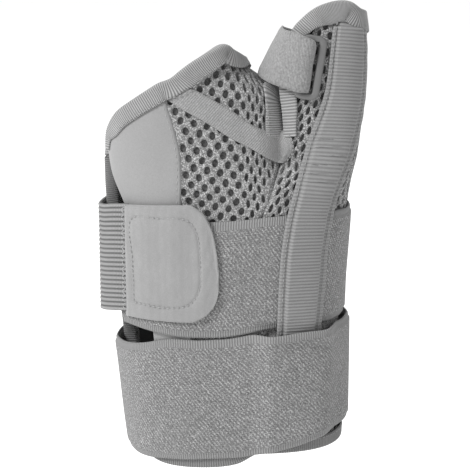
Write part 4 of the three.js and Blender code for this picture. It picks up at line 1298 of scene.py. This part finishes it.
def strap_section(width, thick, edge, spacing):
    """Distances from the lower edge and levels round a strap, with its thinner selvedges."""
    across = np.linspace(0, width, int(width / spacing))
    near = np.minimum(across, width - across)
    level = edge + (thick - edge) * ease(SELVEDGE_WIDTH * 0.85, SELVEDGE_WIDTH * 1.3, near)
    outer = pairs(across, level - rounded(near, 0.5))
    return np.vstack([outer, pairs(np.linspace(width, 0, 10), 0)]), len(outer)


def strap(names, tube, turns, heights, base, thick, edge, spacing=0.8, relief=None, wave=0.25,
          seed=1):
    """A strap round a tube between two turns, as high as heights says, base over the tube."""
    name, node, look = names
    low, high = heights(np.array(sum(turns) / 2))
    section, shown = strap_section(float(high - low), thick, edge, spacing)
    run = lengths(tube.at(np.linspace(*turns, 300), float(low + high) / 2))[-1]
    turn = np.linspace(*turns, int(run / spacing))[:, None]
    along = np.linspace(0, run, len(turn))[:, None]
    low, high = heights(turn)
    low = low + 0.25 * soft_waves(along, 0 * along, 26, seed)
    high = high + 0.25 * soft_waves(along, 0 * along, 22, seed + 1)
    across, level = section.T
    z = low + (high - low) * across / across.max()
    out = level + wave * soft_waves(along, across, 38, seed + 2)
    outside = np.arange(len(section)) < shown
    if relief is not None:
        out = out + relief(across) * outside
    out = np.where(outside, out - rounded(np.minimum(along, run - along), 0.5), out)
    piece = swept(name, tube.off(turn, z, base(turn, z) + out), LOOKS[look], pairs(along, across))
    if edge < thick:
        at_edge = np.minimum(across, across.max() - across) < SELVEDGE_WIDTH * 1.5
        thin = np.tile(at_edge & np.roll(at_edge, -1), len(turn) - 1)
        second_look(piece, LOOKS["selvedge"], np.append(thin, [False] * 2 * len(section)))
    return dressed(piece, node)


def webbing_ribs(across):
    return 0.5 * (np.abs(np.sin(math.pi * across / WEBBING_PITCH)) ** 0.7 - 0.6)


def lower_lift(turn, z):
    """The lower strap lies over the stay tape, and its end over its start."""
    return over_tape(turn, z) + (ELASTIC + 0.3) * ease(1.46, 1.54, turn)


TAB_TURN = float(middle_hoop.front(HOOK_TAB["across"][0] * SPAN, 0.2 * TALL))
middle_strap = strap(("middle_strap_elastic", "middle_strap", "elastic"), middle_hoop,
                     (TAB_TURN - 0.03, 1.8), middle_heights, lambda turn, z: 0 * z,
                     ELASTIC, SELVEDGE, seed=31)
webbing = strap(("side_webbing_tape", "side_webbing", "webbing"), middle_hoop,
                (-0.24, TAB_TURN + 0.012), webbing_heights, lambda turn, z: ELASTIC + 0.1 + 0 * z,
                WEBBING, WEBBING, 0.42, webbing_ribs, 0.15, 32)
lower_strap = strap(("lower_strap_elastic", "lower_strap", "elastic"), lower_hoop, (-0.45, 1.68),
                    lower_heights, lower_lift, ELASTIC, SELVEDGE, seed=33)


# The hook tab

tab_low = smooth(HOOK_TAB, "low", "across")
tab_high = smooth(HOOK_TAB, "high", "across")
tab_seam_line = curve(np.array(TAB_SEAM) * (SPAN, TALL))
tab_seam_spots = tab_seam_line(np.linspace(0, 1, 80, endpoint=False))


def make_tab():
    u, v = np.linspace(0, 1, 90)[:, None], np.linspace(0, 1, 110)[None]
    first, last = HOOK_TAB["across"][[0, -1]]
    across = first + (last - first) * (1 - (1 - u) ** 2)
    z = TALL * (tab_low(across) * (1 - v) + tab_high(across) * v)
    turn = middle_hoop.front(across * SPAN, z)
    side_far, end_far, along, up = edge_distance(middle_hoop.at(turn, z))
    near = np.minimum(side_far, end_far)
    creases = 0.28 * soft_waves(along, up * 0.25, 17, 41) + 0.1 * soft_waves(along, up, 9, 42)
    top = ELASTIC + 0.2 + TAB - rounded(near, 0.8) + creases * ease(0, 6, near)
    places = pairs(middle_hoop.at(turn, z)[..., 0], z).reshape(-1, 2)
    seam = 0.4 * np.exp(-(border_distance(places, tab_seam_spots).reshape(z.shape) / 0.6) ** 2)
    outer = middle_hoop.off(turn, z, top - seam)
    inner = middle_hoop.off(turn, z, ELASTIC + 0.05)
    return wall("hook_tab_velour", outer, inner, LOOKS["tab"], pairs(along, up))


tab = dressed(make_tab(), "hook_tab")


# The stay tape

tape_left, tape_right = smooth(TAPE, "left"), smooth(TAPE, "right")


def tape_bend(u, v, level):
    top = TAPE["up"][-1] - 0.012 * u ** 2
    up = TAPE["up"][0] + (top - TAPE["up"][0]) * v
    z = up * TALL
    x = SPAN * (tape_left(up) * (1 - u) + tape_right(up) * u)
    return thumb.off(thumb.front(x, z), z, tape_lift(z) + level)


def tape_place(u, v, level):
    """A place on the tape, its bends along the tape softened."""
    steps = np.linspace(-TAPE_SOFTEN, TAPE_SOFTEN, 6)
    reach = np.minimum(1, np.minimum(v, 1 - v) / TAPE_SOFTEN)
    foot = sum(tape_bend(u, v + step * reach, 0) for step in steps) / len(steps)
    out = sum(tape_bend(u, v + step * reach, 1) for step in steps) / len(steps) - foot
    return foot + out * np.asarray(level, float)[..., None]


def make_tape():
    u, v = np.meshgrid(np.linspace(0, 1, 46), np.linspace(0, 1, 620), indexing="ij")
    length = (TAPE["up"][-1] - TAPE["up"][0]) * TALL
    near = np.minimum(u, 1 - u) * TAPE_WIDTH
    raised = ease(2.5, 3.6, near)
    rib = 0.5 - 0.5 * np.cos(2 * math.pi * v * length / TAPE_PITCH)
    top = TAPE_EDGE + (TAPE_RIB - TAPE_EDGE - 0.2) * raised - rounded(near, 0.5)
    top = top + raised * (0.3 * rib - 0.1) + 0.1 * soft_waves(v * length, u * TAPE_WIDTH, 8, 51)
    top = top - 0.45 * np.exp(-((near - 2.3) / 0.5) ** 2) - 1.9 * ease(0.972, 0.985, v)
    return wall("stay_tape_ribbed", tape_place(u, v, top), tape_place(u, v, -0.6), LOOKS["tape"],
                pairs(u * TAPE_WIDTH, v * length))


tape = dressed(make_tape(), "stay_tape")


# The diagonal band and the patch at the foot of the web

band_low = curve([(x * SPAN, z * TALL) for x, z in BAND_LOW])
band_high = curve([(x * SPAN, z * TALL) for x, z in BAND_HIGH])


def band_place(spot, level):
    """Over palm and thumb alike, level millimetres in front of them."""
    x, z = spot[..., 0], spot[..., 1]
    reach = (palm.reach(x, z) ** 8 + thumb.depth_at(x, z) ** 8) ** (1 / 8)
    return np.stack([x, -reach - level, z], -1)


def make_band():
    u, v = np.linspace(0, 1, 190), np.linspace(0, 1, 40)
    spot = band_low(u)[:, None] * (1 - v)[None, :, None] + band_high(u)[:, None] * v[None, :, None]
    side_far, end_far, along, up = edge_distance(band_place(spot, 0))
    near = np.minimum(side_far + 3 * (along < 20), end_far)
    raised = 1.3 + 1.7 * ease(4, 13, spot[..., 0])
    soft = ease(9, 14, spot[..., 0]) * (1 - ease(0, 4.5, up[:, -1:] - up))
    top = raised - rounded(near, 0.8) - 1.4 * soft + 0.16 * soft_waves(along, up, 12, 61)
    return wall("web_band_cloth", band_place(spot, top), band_place(spot, -0.4 + 0 * top),
                LOOKS["band"], pairs(along, up))


band = make_band()
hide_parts("diagonal_band", "web_patch")


# The plastic ring and the thumb strap

ring_centre = np.array([RING_PLACE[0] * SPAN, RING_PLACE[1] * SPAN, RING_PLACE[2] * TALL])
ring_up = unit(np.array([RING_LEAN[0], RING_LEAN[1], 1.0]))
ring_side = np.array([1.0, RING_TILT, 0.0])
ring_side = unit(ring_side - ring_up * (ring_side @ ring_up))
ring_out = np.cross(ring_side, ring_up)


def make_ring():
    wide, tall = RING_WIDE - RING_BAR, RING_TALL - RING_BAR * 0.8
    corner = RING_CORNER - RING_BAR / 2 + 0.6
    path = []
    for cx, cy, first in ((1, 1, 0), (-1, 1, 90), (-1, -1, 180), (1, -1, 270)):
        for angle in np.linspace(first, first + 90, 13):
            a = math.radians(angle)
            path.append((cx * (wide / 2 - corner) + corner * math.cos(a),
                         cy * (tall / 2 - corner) + corner * math.sin(a), math.cos(a), math.sin(a)))
    path = np.array(path)
    angle = np.linspace(0, 2 * math.pi, 20, endpoint=False)
    across = np.sign(np.cos(angle)) * np.abs(np.cos(angle)) ** RING_SQUARENESS
    out = np.sign(np.sin(angle)) * np.abs(np.sin(angle)) ** RING_SQUARENESS
    bar = RING_BAR * (1 - 0.2 * np.abs(path[:, 3]) ** 2)
    x = path[:, 0, None] + path[:, 2, None] * across * bar[:, None] / 2
    y = path[:, 1, None] + path[:, 3, None] * across * bar[:, None] / 2
    z = (out * RING_THICK / 2)[None] + 0 * x
    points = (ring_centre + x[..., None] * ring_side + y[..., None] * ring_up
              + z[..., None] * ring_out)
    return swept("ring_moulded", points, LOOKS["plastic"], pairs(x, y), closed=True)


dressed(make_ring(), "strap_ring")

strap_foot = curve([np.array(row[0]) * TALL for row in THUMB_STRAP_PATH])
strap_head = curve([np.array(row[1]) * TALL for row in THUMB_STRAP_PATH])


def thumb_strap_axes(u):
    after, before = np.minimum(1, u + 1e-3), np.maximum(0, u - 1e-3)
    run = strap_foot(after) + strap_head(after) - strap_foot(before) - strap_head(before)
    return unit(np.cross(run, strap_head(u) - strap_foot(u)))


def make_thumb_strap():
    u = np.linspace(0, 1, 300)
    foot, head, out = strap_foot(u), strap_head(u), thumb_strap_axes(u)
    run = lengths((foot + head) / 2)[:, None]
    width = THUMB_STRAP_WIDTH
    across = np.concatenate([np.linspace(0, width, 36), np.linspace(width, 0, 12)])
    face = np.concatenate([np.ones(36), -np.ones(12)])
    near = np.minimum(across, width - across)
    half = THUMB_STRAP / 2 - rounded(near, 0.55) * 0.9
    level = face * half + 0.1 * soft_waves(run, across, 12, 71)
    hem = np.exp(-((near - 2.2) / 0.35) ** 2) * 0.14 * (face > 0)
    v = (across / width)[None, :, None]
    points = foot[:, None] * (1 - v) + head[:, None] * v + out[:, None] * (level - hem)[..., None]
    return swept("thumb_strap_cloth", points, LOOKS["strap"], pairs(run, across))


thumb_strap = dressed(make_thumb_strap(), "thumb_strap")


# The seams

def seam_of(name, runs, thick=0.38):
    """One piece of all the stitches of some runs."""
    piece = stitches(name, *(np.vstack(parts) for parts in zip(*runs)), thick)


def part_of(line, start, end):
    """The stretch of a line between two shares of it."""
    return lambda s: line(start + (end - start) * np.asarray(s, float))


def lifted(place, level):
    """A surface for stitches: points at a level over a place, and the ways out from it."""
    def surface(spots):
        points = place(spots, level)
        return points, place(spots, level + 1) - points
    return surface


def on_tab(spots):
    turn = middle_hoop.front(spots[:, 0], spots[:, 1])
    return on_tube(middle_hoop, ELASTIC + TAB + 0.02)(pairs(turn, spots[:, 1]))


def webbing_seam(turn):
    low, high = webbing_heights(np.array(turn))
    return stitch_run(on_tube(middle_hoop, ELASTIC + WEBBING + 0.12),
                      lambda s: pairs(turn, low + 1 + (high - low - 2) * s), 1.7, 0.9, 0.9)


def tape_seam(u):
    on_tape = lifted(lambda spots, level: tape_place(*spots.T, level), TAPE_EDGE + 0.02)
    return stitch_run(on_tape, lambda s: pairs(u, 0.01 + 0.98 * s), 2.3)


panel_edge = shifted(edge_line(front_seam), palm, PLUSH_LAP - 1.7)
top_inner = shifted(edge_line(whole_top), palm, TOP_BINDING_WIDTH - 1.1)
web_inner = shifted(edge_line(web_line), palm, 1 - WEB_BINDING_WIDTH)
hem_inner = shifted(edge_line(hem_line), palm, 0.9 - HEM_BINDING_WIDTH)
on_binding = on_tube(palm, PLUSH - MESH + CHANNEL_GAP + BINDING)

seam_of("panel_stitches", [stitch_run(on_tube(palm, PLUSH - MESH + 0.33), panel_edge, 2.9)])
seam_of("top_binding_stitches", [stitch_run(on_binding, part_of(top_inner, *ends), 2.4)
                                 for ends in ((0.07, crest_share - 0.1), (crest_share + 0.1, 1))])
seam_of("web_binding_stitches", [stitch_run(on_binding, part_of(web_inner, *ends), 2.4)
                                 for ends in ((0, 0.25), (0.75, 1))])
seam_of("hem_stitches", [stitch_run(on_binding, hem_inner, 2.4)])
seam_of("tab_stitches", [stitch_run(on_tab, tab_seam_line, 2.2, 0.55)])
seam_of("patch_stitches", [stitch_run(lifted(band_place, 2.9), part_of(band_high, 0.80, 0.99),
                                      1.7, 0.85)], 0.42)
seam_of("webbing_stitches", [webbing_seam(TAB_TURN - 0.004)], 0.5)
seam_of("tape_stitches", [tape_seam(0.08), tape_seam(0.92)], 0.34)


# The camera, at the photograph's view

TARGET = Vector((0, 0, 0.044))
DISTANCE = 0.750
ELEVATION = math.radians(15)
FOCAL_PIXELS = 1650
FRAME_PIXELS = 470


def aimed(name, data, place, target):
    """An object at a place that looks at a target."""
    made = linked(name, data)
    made.location = place
    made.rotation_euler = (target - made.location).to_track_quat("-Z", "Y").to_euler()
    return made


camera = bpy.data.cameras.new("camera")
camera.sensor_width = 36
camera.lens = FOCAL_PIXELS / FRAME_PIXELS * camera.sensor_width
camera.clip_start = 0.01
viewpoint = TARGET + DISTANCE * Vector((0, -math.cos(ELEVATION), math.sin(ELEVATION)))
bpy.context.scene.camera = aimed("camera", camera, viewpoint, TARGET)


# The stage and the lights

FLOOR_SIZE, FLOOR_HEIGHT = 4.0, -0.17
FLOOR_TONES = [(0.96, 0.96, 0.96), (0.98, 0.98, 0.98)]


def make_stage():
    look = Look("paper")
    mesh = bpy.data.meshes.new("floor")
    corners = [(FLOOR_SIZE * x, FLOOR_SIZE * y, FLOOR_HEIGHT)
               for x, y in ((-1, -1), (1, -1), (1, 1), (-1, 1))]
    mesh.from_pydata(corners, [], [(0, 1, 2, 3)])
    mesh.materials.append(look.finish(look.between(look.noise(0.004), *FLOOR_TONES), 0.9))
    linked("floor", mesh)


def area_light(name, place, size, power):
    data = bpy.data.lights.new(name, "AREA")
    data.shape = "SQUARE"
    data.size = size
    data.energy = power
    aimed(name, data, place, Vector((0, 0, 0.04)))


make_stage()
area_light("key", (-0.9, -0.7, 0.9), 0.30, 21)
area_light("back", (0.3, 1.0, 0.9), 0.6, 4)

world = bpy.data.worlds.new("studio")
world.use_nodes = True
world.node_tree.nodes["Background"].inputs["Color"].default_value = (1, 1, 1, 1)
world.node_tree.nodes["Background"].inputs["Strength"].default_value = 1.0
bpy.context.scene.world = world
bpy.context.scene.view_settings.view_transform = "Standard"
